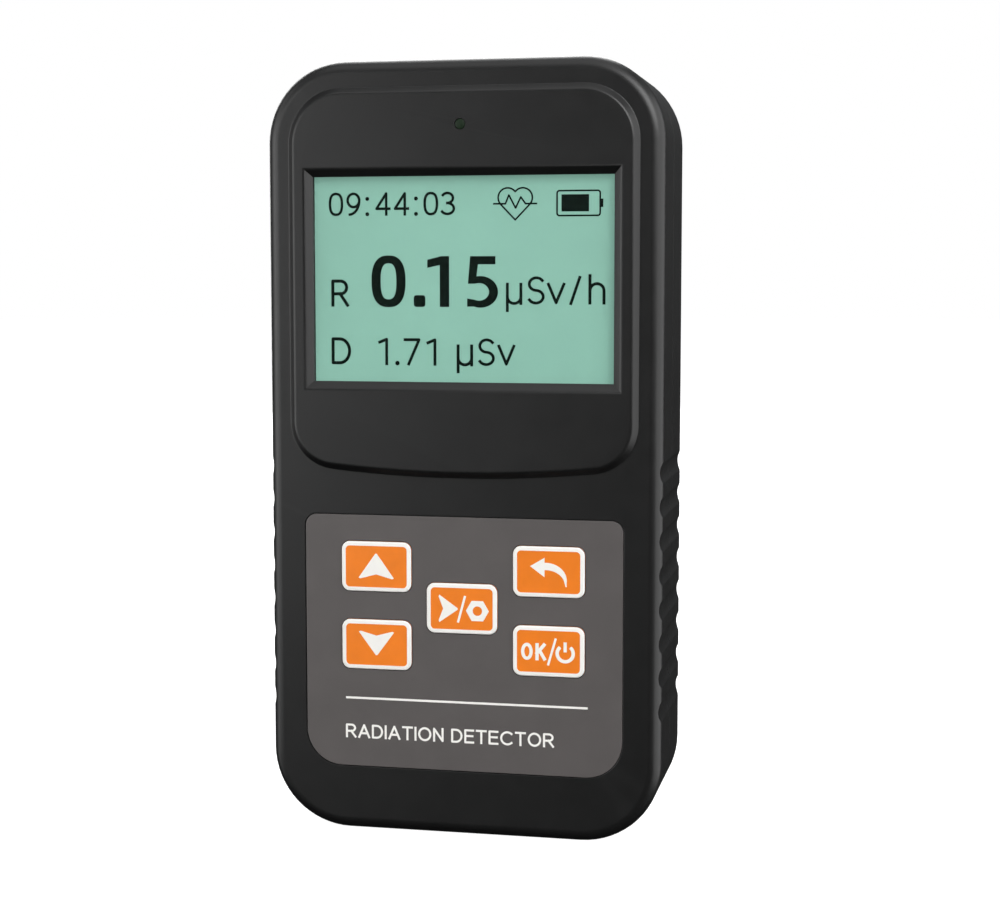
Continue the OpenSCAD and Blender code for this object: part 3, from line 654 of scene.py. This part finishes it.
def front_shell():
    b = Build()
    inner = [(RIM_T, SEAM_D), (RIM_T, RIM_TOP_D), (WALL, RIM_TOP_D)]
    inner += [(WALL + t, INNER_FRONT_D - d) for t, d in COVE]
    face, ceiling = shell_skin(b, FACE_D, -1, inner)
    bezel = b.wall([b.ring(bezel_outline(t), FACE_D + h) for t, h in bezel_profile()])

    recess = b.wall([b.ring(film_outline(FILM_GAP + t), FACE_D - d) for t, d in
                     ((0.12, 0), (0.06, 0), (0.018, 0.018), (0, 0.06),
                      (0, FILM_D[1] - FILM_D[0]))])
    b.flat(face, [bezel[0], recess[0]])

    wells = [b.wall([b.ring(key_outline(k, KEY_WELL_GAP), d) for d in (FILM_D[0], INNER_FRONT_D)])
             for k in KEYS]
    b.flat(recess[-1], [w[0] for w in wells])

    foot_d = PANE_D[1] + 0.2
    fall = BEZEL_TOP_D - foot_d
    rim = [(RIM + 0.4, 0)] + [(RIM + 0.3 - 0.55 * t, fall * (0.25 / RIM) * t * t)
                              for t in (0, 0.17, 0.33, 0.5, 0.67, 0.83, 1)]
    opening = [b.ring(view_outline(x), BEZEL_TOP_D - d) for x, d in rim]
    opening += [b.ring(view_outline(0), d) for d in (foot_d, PANE_D[1])]
    b.wall(opening)
    pane_pocket = [b.ring(grown(PANE_X, PANE_Y, 0.3, 1.0), d) for d in (PANE_D[1], INK_D + 0.1)]
    b.flat(pane_pocket[0], [opening[-1]])
    b.wall(pane_pocket)
    glass_pocket = [b.ring(grown(GLASS_X, GLASS_Y, 0.5, 1.0), d)
                    for d in (INK_D + 0.1, INNER_FRONT_D)]
    b.flat(glass_pocket[0], [pane_pocket[-1]])
    b.wall(glass_pocket)

    light = b.wall(b.rounds(LED_SPOT, (
        (0.95, BEZEL_TOP_D), (0.86, BEZEL_TOP_D), (0.85, BEZEL_TOP_D - 0.01),
        (0.85, PIPE_FLANGE_D), (2.2, PIPE_FLANGE_D), (2.2, INNER_FRONT_D))))
    b.flat(bezel[-1], [opening[0], light[0]])

    posts = []
    for spot in STANDOFF_SPOTS:
        rings = b.wall(b.rounds(spot, (
            (2.6, INNER_FRONT_D), (2.6, BOARD_D[1] + 0.1), (2.5, BOARD_D[1]),
            (1.15, BOARD_D[1]), (1.0, BOARD_D[1] + 0.15), (1.0, BOARD_D[1] + 4))))
        b.flat(rings[-1])
        posts.append(rings[0])
    b.flat(ceiling, [glass_pocket[-1], light[-1], *posts, *[w[1] for w in wells]])

    bosses = Build()
    for spot in BOSS_SPOTS:
        bosses.solid(bosses.rounds(spot, (
            (3.3, INNER_FRONT_D + 0.4), (3.3, RIM_TOP_D), (2.0, RIM_TOP_D),
            (1.9, RIM_TOP_D + 0.15), (1.9, RIM_TOP_D + 4.8), (1.4, RIM_TOP_D + 4.8),
            (1.4, INNER_FRONT_D - 2)), 40))
    finish_shell(b, bosses, "front_shell", "front_housing")


def port_loop(b, y, grow):
    """A ring round the charging port at height y, grown by a little."""
    oval = stadium(0, USB_MID_D, USB_HALF, USB_R + grow)
    return b.loop([world(x, y, d) for x, d in oval])


def port_tool():
    """What the charging port's opening cuts from both shells, with a bevelled mouth."""
    b = Build()
    b.solid([port_loop(b, y, grow) for y, grow in ((-0.5, 0.95), (0.25, 0.2), (WALL + 1, 0.2))],
            plane=(0, 1))
    return b.mesh("port_tool")


def through_hole(b, outline_at):
    """Rings of a hole through the rear wall; outline_at gives its outline, grown by a little."""
    return b.wall([b.ring(outline_at(grow), d) for grow, d in
                   ((0.16, BACK_D), (0.1, BACK_D), (0.03, BACK_D + 0.03), (0, BACK_D + 0.1),
                    (0, INNER_BACK_D))])


def rear_shell():
    b = Build()
    lip_in, lip_out, lip_top = WALL - LIP_T, WALL - 0.1, SEAM_D + LIP_H
    inner = [(lip_in, SEAM_D), (lip_in, lip_top - 0.12), (lip_in + 0.12, lip_top),
             (lip_out, lip_top), (lip_out, SEAM_D - 1), (WALL, SEAM_D - 1)]
    inner += [(WALL + REAR_COVE_R * t, INNER_BACK_D + REAR_COVE_R * d) for t, d in COVE]
    back, floor = shell_skin(b, BACK_D, 1, inner)
    holes = [through_hole(b, lambda g, y=68 + n * 4: stadium(-17, y, 5, 0.7 + g))
             for n in range(8)]
    holes.append(through_hole(b, lambda g: circle(SOUND_SPOT, 0.7 + g, 20)))
    for count, reach in ((6, 2.2), (12, 4.2)):
        for i in range(count):
            a = 2 * math.pi * i / count
            spot = (SOUND_SPOT[0] + reach * math.cos(a), SOUND_SPOT[1] + reach * math.sin(a))
            holes.append(through_hole(b, lambda g, s=spot: circle(s, 0.6 + g, 16)))
    for spot in BOSS_SPOTS:
        holes.append(through_hole(b, lambda g, s=spot: circle(s, SCREW_WELL_R + g, 40)))
    recess = b.wall([b.ring(grown(LABEL_X, LABEL_Y, 0.2 + g, 1.7 + g), BACK_D + d)
                     for g, d in ((0.14, 0), (0.08, 0), (0.02, 0.03), (0, 0.09), (0, 0.3))])
    b.flat(recess[-1])
    b.flat(back, [h[0] for h in holes] + [recess[0]])
    b.flat(floor, [h[-1] for h in holes])

    bosses = Build()
    for spot in BOSS_SPOTS:
        bosses.wall(bosses.rounds(spot, (
            (4.0, INNER_BACK_D - 0.5), (4.0, lip_top - 0.1), (3.9, lip_top), (1.4, lip_top),
            (1.4, SCREW_SEAT_D), (SCREW_WELL_R, SCREW_SEAT_D),
            (SCREW_WELL_R, INNER_BACK_D - 0.5)), 40), closed=True)
    finish_shell(b, bosses, "rear_shell", "rear_housing")


# ---- lettering and symbols

# Centre lines of each sign in a box 1 wide and 1 high, after the sign's width over its height.
SIGNS = {
    "0": (0.65, [superellipse(0.5, 0.5, 0.5, 0.5, 2.5, 36)]),
    "1": (0.37, [[(0, 0.88), (1, 1), (1, 0)]]),
    "3": (0.60, [arc(0.42, 0.76, 0.5, 0.24, 145, -90, 16),
                 arc(0.42, 0.26, 0.58, 0.26, 90, -145, 16)]),
    "4": (0.68, [[(0.76, 0), (0.76, 1), (0, 0.27), (1, 0.27)]]),
    "7": (0.64, [[(0, 1), (1, 1), (0.26, 0)]]),
    "9": (0.63, [arc(0.5, 0.68, 0.5, 0.32, 0, 360, 24), arc(0.12, 0.68, 0.88, 0.68, 0, -86, 12)]),
    "A": (0.88, [[(0, 0), (0.5, 1), (1, 0)], [(0.17, 0.32), (0.83, 0.32)]]),
    "C": (0.93, [arc(0.56, 0.5, 0.56, 0.5, 48, 312, 24)]),
    "D": (0.82, [[(0, 0), (0, 1), (0.42, 1), *arc(0.42, 0.5, 0.58, 0.5, 90, -90, 16), (0, 0)]]),
    "E": (0.71, [[(1, 1), (0, 1), (0, 0), (1, 0)], [(0, 0.53), (0.92, 0.53)]]),
    "I": (0.14, [[(0.5, 0), (0.5, 1)]]),
    "K": (0.78, [[(0, 0), (0, 1)], [(0.95, 1), (0, 0.4)], [(0.33, 0.6), (1, 0)]]),
    "N": (0.76, [[(0, 0), (0, 1), (1, 0), (1, 1)]]),
    "O": (0.96, [arc(0.5, 0.5, 0.5, 0.5, 0, 360, 32)]),
    "R": (0.78, [[(0, 0), (0, 1), (0.55, 1), *arc(0.55, 0.735, 0.4, 0.265, 90, -90, 12),
                  (0, 0.47)], [(0.5, 0.47), (1, 0)]]),
    "S": (0.62, [arc(0.52, 0.75, 0.5, 0.25, 35, 262, 18)
                 + arc(0.48, 0.25, 0.52, 0.25, 82, -150, 18)]),
    "T": (0.78, [[(0, 1), (1, 1)], [(0.5, 1), (0.5, 0)]]),
    "v": (0.87, [[(0, 1), (0.5, 0), (1, 1)]]),
    "h": (0.51, [[(0, 0), (0, 1)], [(0, 0.45), *arc(0.5, 0.45, 0.5, 0.26, 180, 0, 12), (1, 0)]]),
    "/": (0.36, [[(0, 0), (1, 1)]]),
    "mu": (0.58, [[(0, 1), (0, 0)], [(0, 0.52), *arc(0.5, 0.52, 0.5, 0.25, 180, 360, 12)],
                  [(1, 1), (1, 0.27)]]),
}


def line(points, width, square_ends=False):
    """Shapes that cover a line of that width: a bar for each stretch, a disc at each joint."""
    shapes = []
    points = [p for p, q in zip(points, points[1:]) if math.dist(p, q) > 1e-6] + [points[-1]]
    joined = math.dist(points[0], points[-1]) < 1e-6
    joints = points[1:] if joined else points[1:-1]
    if square_ends and not joined:
        points = [beyond(points[1], points[0], width / 2), *points[1:-1],
                  beyond(points[-2], points[-1], width / 2)]
    for (x0, y0), (x1, y1) in zip(points, points[1:]):
        length = math.hypot(x1 - x0, y1 - y0)
        nx, ny = -(y1 - y0) / length * width / 2, (x1 - x0) / length * width / 2
        shapes.append([(x0 - nx, y0 - ny), (x1 - nx, y1 - ny), (x1 + nx, y1 + ny),
                       (x0 + nx, y0 + ny)])
    shapes += [circle(p, width / 2 * 0.998, 14) for p in joints]
    return shapes


def beyond(a, b, reach):
    """The point that lies reach past b on the way from a."""
    k = reach / math.dist(a, b)
    return b[0] + (b[0] - a[0]) * k, b[1] + (b[1] - a[1]) * k


def sign(name, left, base, height, stroke, width=None):
    """Shapes of one sign whose outside is height high, and where its right edge falls."""
    ratio, lines = SIGNS[name]
    width = height * ratio if width is None else width
    shapes = []
    for points in lines:
        shapes += line([(left + stroke / 2 + x * (width - stroke),
                         base + stroke / 2 + y * (height - stroke)) for x, y in points],
                       stroke, True)
    return shapes, left + width


def word(text, left, base, height, stroke, gap):
    """Shapes of a row of signs, colons, points and spaces."""
    shapes = []
    for name in text:
        if name == " ":
            left += height * 0.42
        elif name == ":":
            left += gap * 0.75
            for h in (0.07, 0.72):
                shapes.append(circle((left + stroke / 2, base + height * h), stroke * 0.76, 16))
            left += stroke + gap
        elif name == ".":
            shapes.append(circle((left + stroke / 2, base + stroke * 0.75), stroke * 0.78, 16))
            left += stroke + gap
        else:
            more, left = sign(name, left, base, height, stroke)
            shapes += more
            left += gap
    return shapes


def display_ink():
    """Clock, heartbeat and battery on top, the dose rate in bold, and the dose below."""
    shapes, holes = [], []
    stroke = 0.41
    for text, left in (("09:", -21.33), ("44:", -13.88), ("03", -6.23)):
        shapes += word(text, left, 96.37, 3.6, stroke, 0.5)

    shapes.append(round_rect(14.43, 21.28, 96.08, 100.07, 0.5))
    holes.append(round_rect(14.69, 21.02, 96.34, 99.81, 0.25))
    charge = rectangle(15.24, 19.45, 96.82, 99.38)
    shapes.append(rectangle(21.2, 21.62, 97.45, 98.7))

    heart = heart_outline(8.12, 95.62, 5.3, 4.82)
    shapes += line(heart + heart[:2], 0.26)
    pulse = [(4.69, 98.05), (6.6, 98.05), (7.13, 99.35), (8.18, 97.4), (8.98, 99.05),
             (9.7, 98.05), (11.52, 98.05)]
    shapes += line(pulse, 0.26)

    base = 82.4
    shapes += sign("R", -21.02, base, 4.2, 0.5, 2.85)[0]
    shapes.append(superellipse(-11.82, 86.32, 2.72, 3.98, 2.5)[1:])
    holes.append(superellipse(-11.82, 86.32, 1.25, 2.76, 2.7)[1:])
    shapes.append(round_rect(-7.8, -5.97, base, base + 1.8, 0.42))
    shapes.append([(-2.2, base), (-2.2, 90.17), (-3.45, 90.17), (-5.65, 89.62), (-5.65, 88.38),
                   (-3.68, 88.8), (-3.68, base)])
    shapes.append(bold_five(0.62, 82.3, 7.85))
    for row in (("mu", 6.68, 81.66, 4.45, 0.45, 2.55), ("S", 10.04, 82.81, 4.28, 0.45),
                ("v", 13.04, 82.87, 3.24, 0.45, 2.83), ("/", 16.5, 82.74, 4.4, 0.45, 1.8),
                ("h", 19.4, 82.84, 4.56, 0.47, 2.62), ("D", -21.05, 73.45, 4.2, 0.5, 3.17)):
        shapes += sign(*row)[0]

    base = 73.38
    shapes += word("1", -13.51, base, 4.25, 0.46, 0) + word(".", -10.68, base, 4.25, 0.46, 0)
    shapes += word("71", -9.45, base, 4.2, 0.46, 0.96)
    for row in (("mu", -1.05, 72.25, 4.43, 0.47, 2.6), ("S", 2.33, 73.4, 4.23, 0.45),
                ("v", 5.36, 73.49, 3.19, 0.45, 2.78)):
        shapes += sign(*row)[0]

    b = Build()
    b.slab(shapes, holes, INK_D - INK_T, INK_D + INK_T)
    b.slab([charge], [], INK_D - INK_T, INK_D + INK_T)
    b.piece("display_digits", "display_ink", "display_ink")


def heart_outline(cx, low, width, height):
    """A heart standing on its point: two round lobes and two sides drawn to the tip."""
    r = width * 0.279
    right = arc(cx + width / 2 - r, low + height - r, r, r, -40, 142, 14)
    left = [(2 * cx - x, y) for x, y in reversed(right)]
    return right + left + [(cx, low)]


def bold_five(left, low, height):
    """The bold figure five: a flag, a back and an open bowl, as one outline."""
    mid = low + height * 0.308
    outer = arc(left + 2.08, mid, 2.76, height * 0.308, 103, -112, 22)
    inner = arc(left + 1.86, mid, 1.57, height * 0.170, -118, 108, 20)
    flag = [(left + 0.48, low + height), (left + 4.43, low + height),
            (left + 4.43, low + height - 1.24), (left + 1.71, low + height - 1.24),
            (left + 1.47, mid + height * 0.300)]
    tail = [(left, low + 0.15), (left, low + 1.42)]
    shoulder = [(left + 1.3, mid + height * 0.158), (left + 0.12, mid + height * 0.158)]
    return (flag + outer + tail + inner + shoulder)[::-1]


def film_print():
    """The white rule and the lettering below the keys."""
    shapes = [rectangle(-18.75, 19.75, 20.98, 21.32)]
    shapes += word("RADIATION DETECTOR", -18.8, 14.75, 2.22, 0.33, 0.275)
    b = Build()
    b.slab(shapes, [], FACE_D - PRINT_SINK, FACE_D + PRINT_T)
    b.piece("keypad_print", "white_print", "print_white")


def keypad_film():
    b = Build()
    edge = ((0, FILM_D[0]), (0, FACE_D - 0.07), (0.02, FACE_D - 0.02), (0.07, FACE_D),
            (0.12, FACE_D))
    outer = b.wall([b.ring(film_outline(-t), d) for t, d in edge])
    holes = [b.wall([b.ring(key_outline(k, KEY_GAP + t), d) for t, d in edge]) for k in KEYS]
    b.flat(outer[0], [h[0] for h in holes])
    b.flat(outer[-1], [h[-1] for h in holes])
    b.piece("keypad_skin", "keypad_film", "film_grey", ["keypad_film"])


def key_piece(key):
    b = Build()
    low, high = STEM_D[1], STEM_D[1] + FLANGE_T
    rings = [b.ring(key_outline(key, g), d) for g, d in
             ((FLANGE - 0.1, low), (FLANGE, low + 0.1), (FLANGE, high - 0.1),
              (FLANGE - 0.1, high), (0, high))]
    rings += [b.ring(key_outline(key, -t), d)
              for t, d in reversed(rounding(0, KEY_TOP_D, KEY_EDGE_R, -1, 6))]
    rings.append(b.ring(key_outline(key, -KEY_EDGE_R - 0.06), KEY_TOP_D))
    b.solid(rings)
    b.piece(key + "_cap", "key_orange", "key_orange", [key + "_key"], key + "_button")


def key_print(key):
    """White border wrapped over the key's edge, and the key's symbol."""
    b = Build()
    over = rounding(-PRINT_T, KEY_TOP_D + PRINT_T, KEY_EDGE_R + PRINT_T, -1, 6)
    path = [(-t, d) for t, d in reversed(over)]
    path += [(-BORDER_W, KEY_TOP_D + PRINT_T), (-BORDER_W, KEY_TOP_D - 0.04),
             (-0.24, KEY_TOP_D - 0.04), (-0.06, KEY_TOP_D - 0.21)]
    b.wall([b.ring(key_outline(key, g), d) for g, d in path], closed=True)
    (x0, x1), (y0, y1), _ = KEY_SPAN[key]
    cx, cy = (x0 + x1) / 2, (y0 + y1) / 2
    shapes, holes = [[[(cx + x, cy + y) for x, y in shape] for shape in drawn]
                     for drawn in KEY_SYMBOLS[key]]
    b.slab(shapes, holes, KEY_TOP_D - PRINT_SINK, KEY_TOP_D + PRINT_T)
    b.piece(key + "_print", "white_print", "print_white", body=key + "_button")


def arrow_head(tip, wing, notch, half):
    """A pointed arrow head along +y whose base is notched."""
    return [(half, wing), (0.12, tip - 0.1), (-0.12, tip - 0.1), (-half, wing),
            (-half + 0.3, wing - 0.12), (0, notch), (half - 0.3, wing - 0.12)][::-1]


def select_symbol():
    """An arrow head to the right, a stroke, and a nut."""
    arrow = turned(arrow_head(2.5, -0.5, 0.1, 2.15), (-3.03, -0.03), -90)
    stroke = line([(-0.58, -2.15), (0.56, 2.05)], 0.36)
    nut = circle((2.5, -0.26), 1.82, 6)
    return [arrow, *stroke, nut], [circle((2.5, -0.26), 0.74, 28)]


def back_symbol():
    """An arrow that runs up from the right and turns back to the left."""
    head = [(-2.88, 0.86), (-0.62, 2.22), (-0.62, -0.78)]
    outer = arc(-0.43, -1.25, 3.27, 2.7, 96, -8, 16)
    inner = arc(-0.43, -1.9, 2.95, 2.22, 6, 96, 14)
    tail = [(2.82, -2.2), (2.66, -2.2)]
    return [head[::-1], (outer + tail + inner)[::-1]], []


def power_symbol():
    """OK, a stroke, and the power sign: an open ring with a short bar in its gap."""
    shapes = []
    for name, left, width in (("O", -4.27, 1.84), ("K", -2.02, 1.66)):
        shapes += sign(name, left, -1.4, 2.68, 0.52, width)[0]
    shapes += line([(-0.06, -2.13), (1.16, 2.1)], 0.36)
    shapes += line(arc(2.62, -0.2, 1.25, 1.25, 130, 410, 28), 0.54)
    shapes += line([(2.62, 0.0), (2.62, 1.55)], 0.5)
    return shapes, []


# Shapes and holes of each symbol about its key's middle
KEY_SYMBOLS = {"up": ([arrow_head(2.15, -1.78, -1.2, 2.85)], []),
               "down": ([turned(arrow_head(1.85, -1.92, -1.35, 2.85), (0, 0.1), 180)], []),
               "select": select_symbol(), "back": back_symbol(), "power": power_symbol()}


# ---- small outer parts

def window_pane():
    b = Build()
    b.solid([b.ring(grown(PANE_X, PANE_Y, -t, 0.8 - t), d) for t, d in
             ((0.1, PANE_D[0]), (0, PANE_D[0] + 0.1), (0, PANE_D[1] - 0.1), (0.1, PANE_D[1]))])
    b.piece("window_pane", "clear_window", "clear_window", ["display_window"])


def light_pipe():
    b = Build()
    (low, top), flange = PIPE_D, PIPE_FLANGE_D
    b.solid(b.rounds(LED_SPOT, (
        (1.5, low), (1.6, low + 0.1), (1.6, flange - 0.1), (1.5, flange), (0.8, flange),
        (0.8, top - 0.16), (0.77, top - 0.11), (0.7, top - 0.08), (0.1, top - 0.05)), 24))
    b.piece("status_light", "light_green", "light_green", ["light_pipe"])


def usb_socket():
    """The charging port: a rolled steel shell, its tongue and the contacts on both sides."""
    low, high = USB_Y
    shell = Build()
    shell.solid([port_loop(shell, y, -t) for y, t in
                 ((high, 0.25), (high - 0.08, 0.08), (high - 0.25, 0), (low + 0.12, 0),
                  (low + 0.03, 0.05), (low, 0.12), (low, 0.2), (low + 0.04, 0.27),
                  (low + 0.12, 0.3), (high - 0.6, 0.3))], plane=(0, 1))
    for side in (-1, 1):
        x = side * (USB_X[1] - 0.6)
        shell.block((x - 0.5, x + 0.5), (4.4, 6.0), (BOARD_D[0] - 1.2, BOARD_D[0]))
    shell.piece("port_shell", "usb_steel", "usb_steel", ["usb_shell"])

    tongue = Build()
    tongue.solid([port_loop(tongue, y, -0.33) for y in (high - 2.2, high - 0.61)], plane=(0, 1))
    tip = low + 0.7
    tongue.slab([round_rect(-3.35, 3.35, tip, high - 1.6, 0.35)], [],
                USB_MID_D - 0.34, USB_MID_D + 0.34)
    tongue.piece("port_tongue", "switch_black", "usb_black", ["usb_tongue"])

    contacts = Build()
    for n in range(12):
        x = (n - 5.5) * 0.5
        for d in (USB_MID_D - 0.36, USB_MID_D + 0.33):
            contacts.block((x - 0.14, x + 0.14), (tip + 0.35, tip + 3.6), (d, d + 0.03))
    contacts.piece("port_contacts", "contact_gold", "usb_steel")


def machine_screws(name, node, spots, head, seat_d, shank, finish):
    """Pan heads with a tapered cross recess, on threaded shanks; heads face the back.

    head and shank are each a radius and how deep they reach.
    """
    (head_r, head_d), (shank_r, tip_d) = head, shank
    b = Build()
    h = seat_d - head_d
    arm, half = head_r * 0.56, head_r * 0.13
    cross = [(x * c - y * s, x * s + y * c) for c, s in ((1, 0), (0, -1), (-1, 0), (0, 1))
             for x, y in ((half, half), (arm, half), (arm, -half))]
    crown = [(head_r * (1 - 0.38 * (1 - math.cos(a))), seat_d - h * (0.25 + 0.75 * math.sin(a)))
             for a in [math.pi / 2 * i / 8 for i in range(9)]]
    pitch = shank_r * 0.36
    thread = []
    for n in range(int((tip_d - seat_d - 0.6) / pitch)):
        d = seat_d + 0.3 + n * pitch
        thread += [(shank_r * 0.82, d + pitch * 0.45), (shank_r, d + pitch * 0.95)]
    for spot in spots:
        dome = b.wall(b.rounds(spot, ((shank_r, seat_d), (head_r, seat_d), *crown)))
        sink = b.wall([
            b.ring([(spot[0] + x * s, spot[1] + y * s) for x, y in cross], head_d + d)
            for s, d in ((1, 0), (0.9, 0.04), (0.55, h * 0.7))])
        b.flat(sink[-1])
        b.flat(dome[-1], [sink[0]])
        rings = b.wall(dome[:1] + b.rounds(spot, (
            (shank_r, seat_d + 0.3), *thread, (shank_r * 0.8, tip_d - 0.1),
            (shank_r * 0.6, tip_d))))
        b.flat(rings[-1])
    b.piece(name, finish, finish, [node])


def back_label():
    """Blank rating label with a printed frame and empty rules."""
    low, high = LABEL_D
    b = Build()
    b.solid([b.ring(grown(LABEL_X, LABEL_Y, -t, 1.5 - t), d) for t, d in
             ((0, high), (0, low + 0.03), (0.03, low), (0.08, low))])
    b.piece("rating_label", "label_grey", "label_grey", ["back_label"])
    lines = Build()
    lines.slab([grown(LABEL_X, LABEL_Y, -1.0, 1.0)], [grown(LABEL_X, LABEL_Y, -1.22, 0.8)],
               low - 0.012, low + 0.02)
    lines.slab([rectangle(LABEL_X[0] + 3, LABEL_X[1] - 3, y - 0.07, y + 0.07)
                for y in (LABEL_Y[0] + 6 + 4 * n for n in range(4))], [],
               low - 0.012, low + 0.02)
    lines.piece("rating_label_print", "label_line", "label_grey")


# ---- carried-over parts

# Which nodes get each finish
CARRIED = {
    "foam_black": ["window_foam", "buzzer_gasket"], "display_green": ["lcd_glass"],
    "diffuser_white": ["lcd_backlight"], "frame_white": ["lcd_frame"], "ribbon_amber":
    ["lcd_ribbon"], "connector_ivory": ["ribbon_connector", "battery_plug", "battery_socket"],
    "switch_can": ["switch_bodies"], "board_green": ["main_board", "battery_tab_board"],
    "chip_black": ["microcontroller", "charger_chip"], "ferrite_grey": ["power_coil",
    "hv_transformer"], "tinned_steel": ["crystal", "motor_case", "tube_caps", "tube_clips"],
    "capacitor_blue": ["hv_capacitors"], "switch_black": ["buzzer"], "led_white": ["status_led"],
    "boot_rubber": ["motor_boot"], "shaft_steel": ["motor_shaft"], "weight_grey": ["motor_weight"],
    "tube_glass": ["counter_tube"], "shield_tin": ["tube_shield"], "cell_foil": ["battery_cell"],
    "tape_white": ["battery_tape"], "lead_red": ["battery_lead_red"], "lead_black":
    ["battery_lead_black"], "insert_brass": ["threaded_inserts"],
}
CARRIED["switch_black"] += [key + "_switch_stem" for key in KEYS]


def paint_carried():
    for finish, nodes in CARRIED.items():
        for node in nodes:
            mesh = frame["nodes"][node].data
            mesh.materials.clear()
            mesh.materials.append(MATERIALS[finish])


# ---- studio

def aimed(name, data, aim, azimuth, elevation, distance):
    """Adds a camera or lamp that looks at aim from an angle in degrees."""
    a, e = math.radians(azimuth), math.radians(elevation)
    away = Vector((math.sin(a) * math.cos(e), -math.cos(a) * math.cos(e), math.sin(e)))
    added = add_object(name, data)
    added.location = aim + away * distance
    added.rotation_mode = "QUATERNION"
    added.rotation_quaternion = (-away).to_track_quat("-Z", "Y")
    return added


def camera():
    """The viewpoint: a little right of the face and a little above its middle."""
    data = bpy.data.cameras.new("camera")
    data.sensor_width = 36
    data.lens = 69.57
    data.clip_start, data.clip_end = 0.01, 50
    aim = world(6.02, CASE_H / 2 + 0.64, FACE_D)
    bpy.context.scene.camera = aimed("camera", data, aim, 12.03, 5.05, 295.4 * MM)


# Each lamp: name, azimuth, elevation, distance, width, height, and radiance
LAMPS = (
    ("key", -46, 3, 0.9, 0.86, 0.46, 2.6),
    ("high", 6, 62, 1.0, 1.2, 0.8, 0.9),
    ("fill", 38, 30, 1.0, 0.6, 0.6, 5.7),
    ("right_strip", 87, 5, 0.55, 0.88, 0.8, 1.8),
    ("left_strip", -75, 5, 0.6, 0.34, 0.8, 0.95),
    ("top", 180, 76, 0.9, 0.6, 0.6, 0.7),
    ("back_key", 207, 16, 0.9, 0.7, 0.8, 3.0),
    ("back_fill", 197, 45, 1.0, 0.6, 0.6, 4.0),
)


def softbox(name, azimuth, elevation, distance, width, height, radiance):
    """A flat lamp facing the meter's middle."""
    data = bpy.data.lights.new(name, "AREA")
    data.shape = "RECTANGLE"
    data.size, data.size_y = width, height
    data.energy = radiance * math.pi * width * height
    aimed(name, data, world(0, CASE_H / 2, 0), azimuth, elevation, distance)


def backdrop(b, name, glow, albedo):
    """Adds a plain glowing white surface that lights nothing and isn't reflected."""
    made = bpy.data.materials.new(name)
    made.use_nodes = True
    connect(made.node_tree, made.node_tree.nodes["Principled BSDF"], {
        "Base Color": (albedo, albedo, albedo, 1), "Roughness": 0.9, "Specular IOR Level": 0.0,
        "Emission Color": (1, 1, 1, 1), "Emission Strength": glow})
    mesh = b.mesh(name)
    mesh.materials.append(made)
    surface = add_object(name, mesh)
    surface.visible_glossy = False
    surface.visible_diffuse = False
    surface.visible_transmission = False
    return surface


def studio():
    """A pale round floor under a pale dome, the sky's light and the lamps."""
    radius, dome_radius = 4.0, 4.2
    floor = Build()
    floor.faces.append(tuple(floor.loop([
        Vector((radius * math.cos(a), radius * math.sin(a), 0))
        for a in [2 * math.pi * i / 64 for i in range(64)]])))
    backdrop(floor, "floor", 0.93, 0.55)

    dome = Build()
    rows = []
    for j in range(17):
        e = math.radians(-10 + 99 * j / 16)
        rows.append(dome.loop([Vector((math.cos(e) * math.cos(a), math.cos(e) * math.sin(a),
                                       math.sin(e))) * dome_radius
                               for a in [2 * math.pi * i / 48 for i in range(48)]]))
    dome.wall(rows)
    dome.faces.append(tuple(rows[-1]))
    backdrop(dome, "backdrop", 1.0, 0.0).visible_shadow = False

    bpy.context.scene.world = sky()
    bpy.context.scene.view_settings.view_transform = "Standard"
    for lamp in LAMPS:
        softbox(*lamp)


def sky():
    """Surrounding light that falls away to almost nothing below the horizon."""
    made = bpy.data.worlds.new("sky")
    made.use_nodes = True
    tree = made.node_tree
    where = add_node(tree, "ShaderNodeTexCoord").outputs["Generated"]
    up = add_node(tree, "ShaderNodeSeparateXYZ", {"Vector": where}).outputs["Z"]
    rise = add_node(tree, "ShaderNodeMapRange", {
        "From Min": -0.1, "From Max": 0.6, "To Min": 0.02, "To Max": 0.2, "Value": up})
    connect(tree, tree.nodes["Background"], {
        "Color": (0.96, 0.98, 1.0, 1), "Strength": rise.outputs["Result"]})
    return made


# ---- all of it

def main():
    camera()
    studio()
    for build in (front_shell, rear_shell, window_pane, display_ink, keypad_film, film_print):
        build()
    for key in KEYS:
        key_piece(key)
        key_print(key)
    light_pipe()
    usb_socket()
    machine_screws("case_screws", "housing_screws", BOSS_SPOTS, (2.3, SCREW_D[0]),
                   SCREW_SEAT_D, (1.2, SCREW_D[1]), "screw_dark")
    machine_screws("standoff_screws", "board_screws", STANDOFF_SPOTS, (1.9, BOARD_SCREW_D[0]),
                   BOARD_D[0], (0.95, BOARD_SCREW_D[1]), "tinned_steel")
    back_label()
    paint_carried()


main()
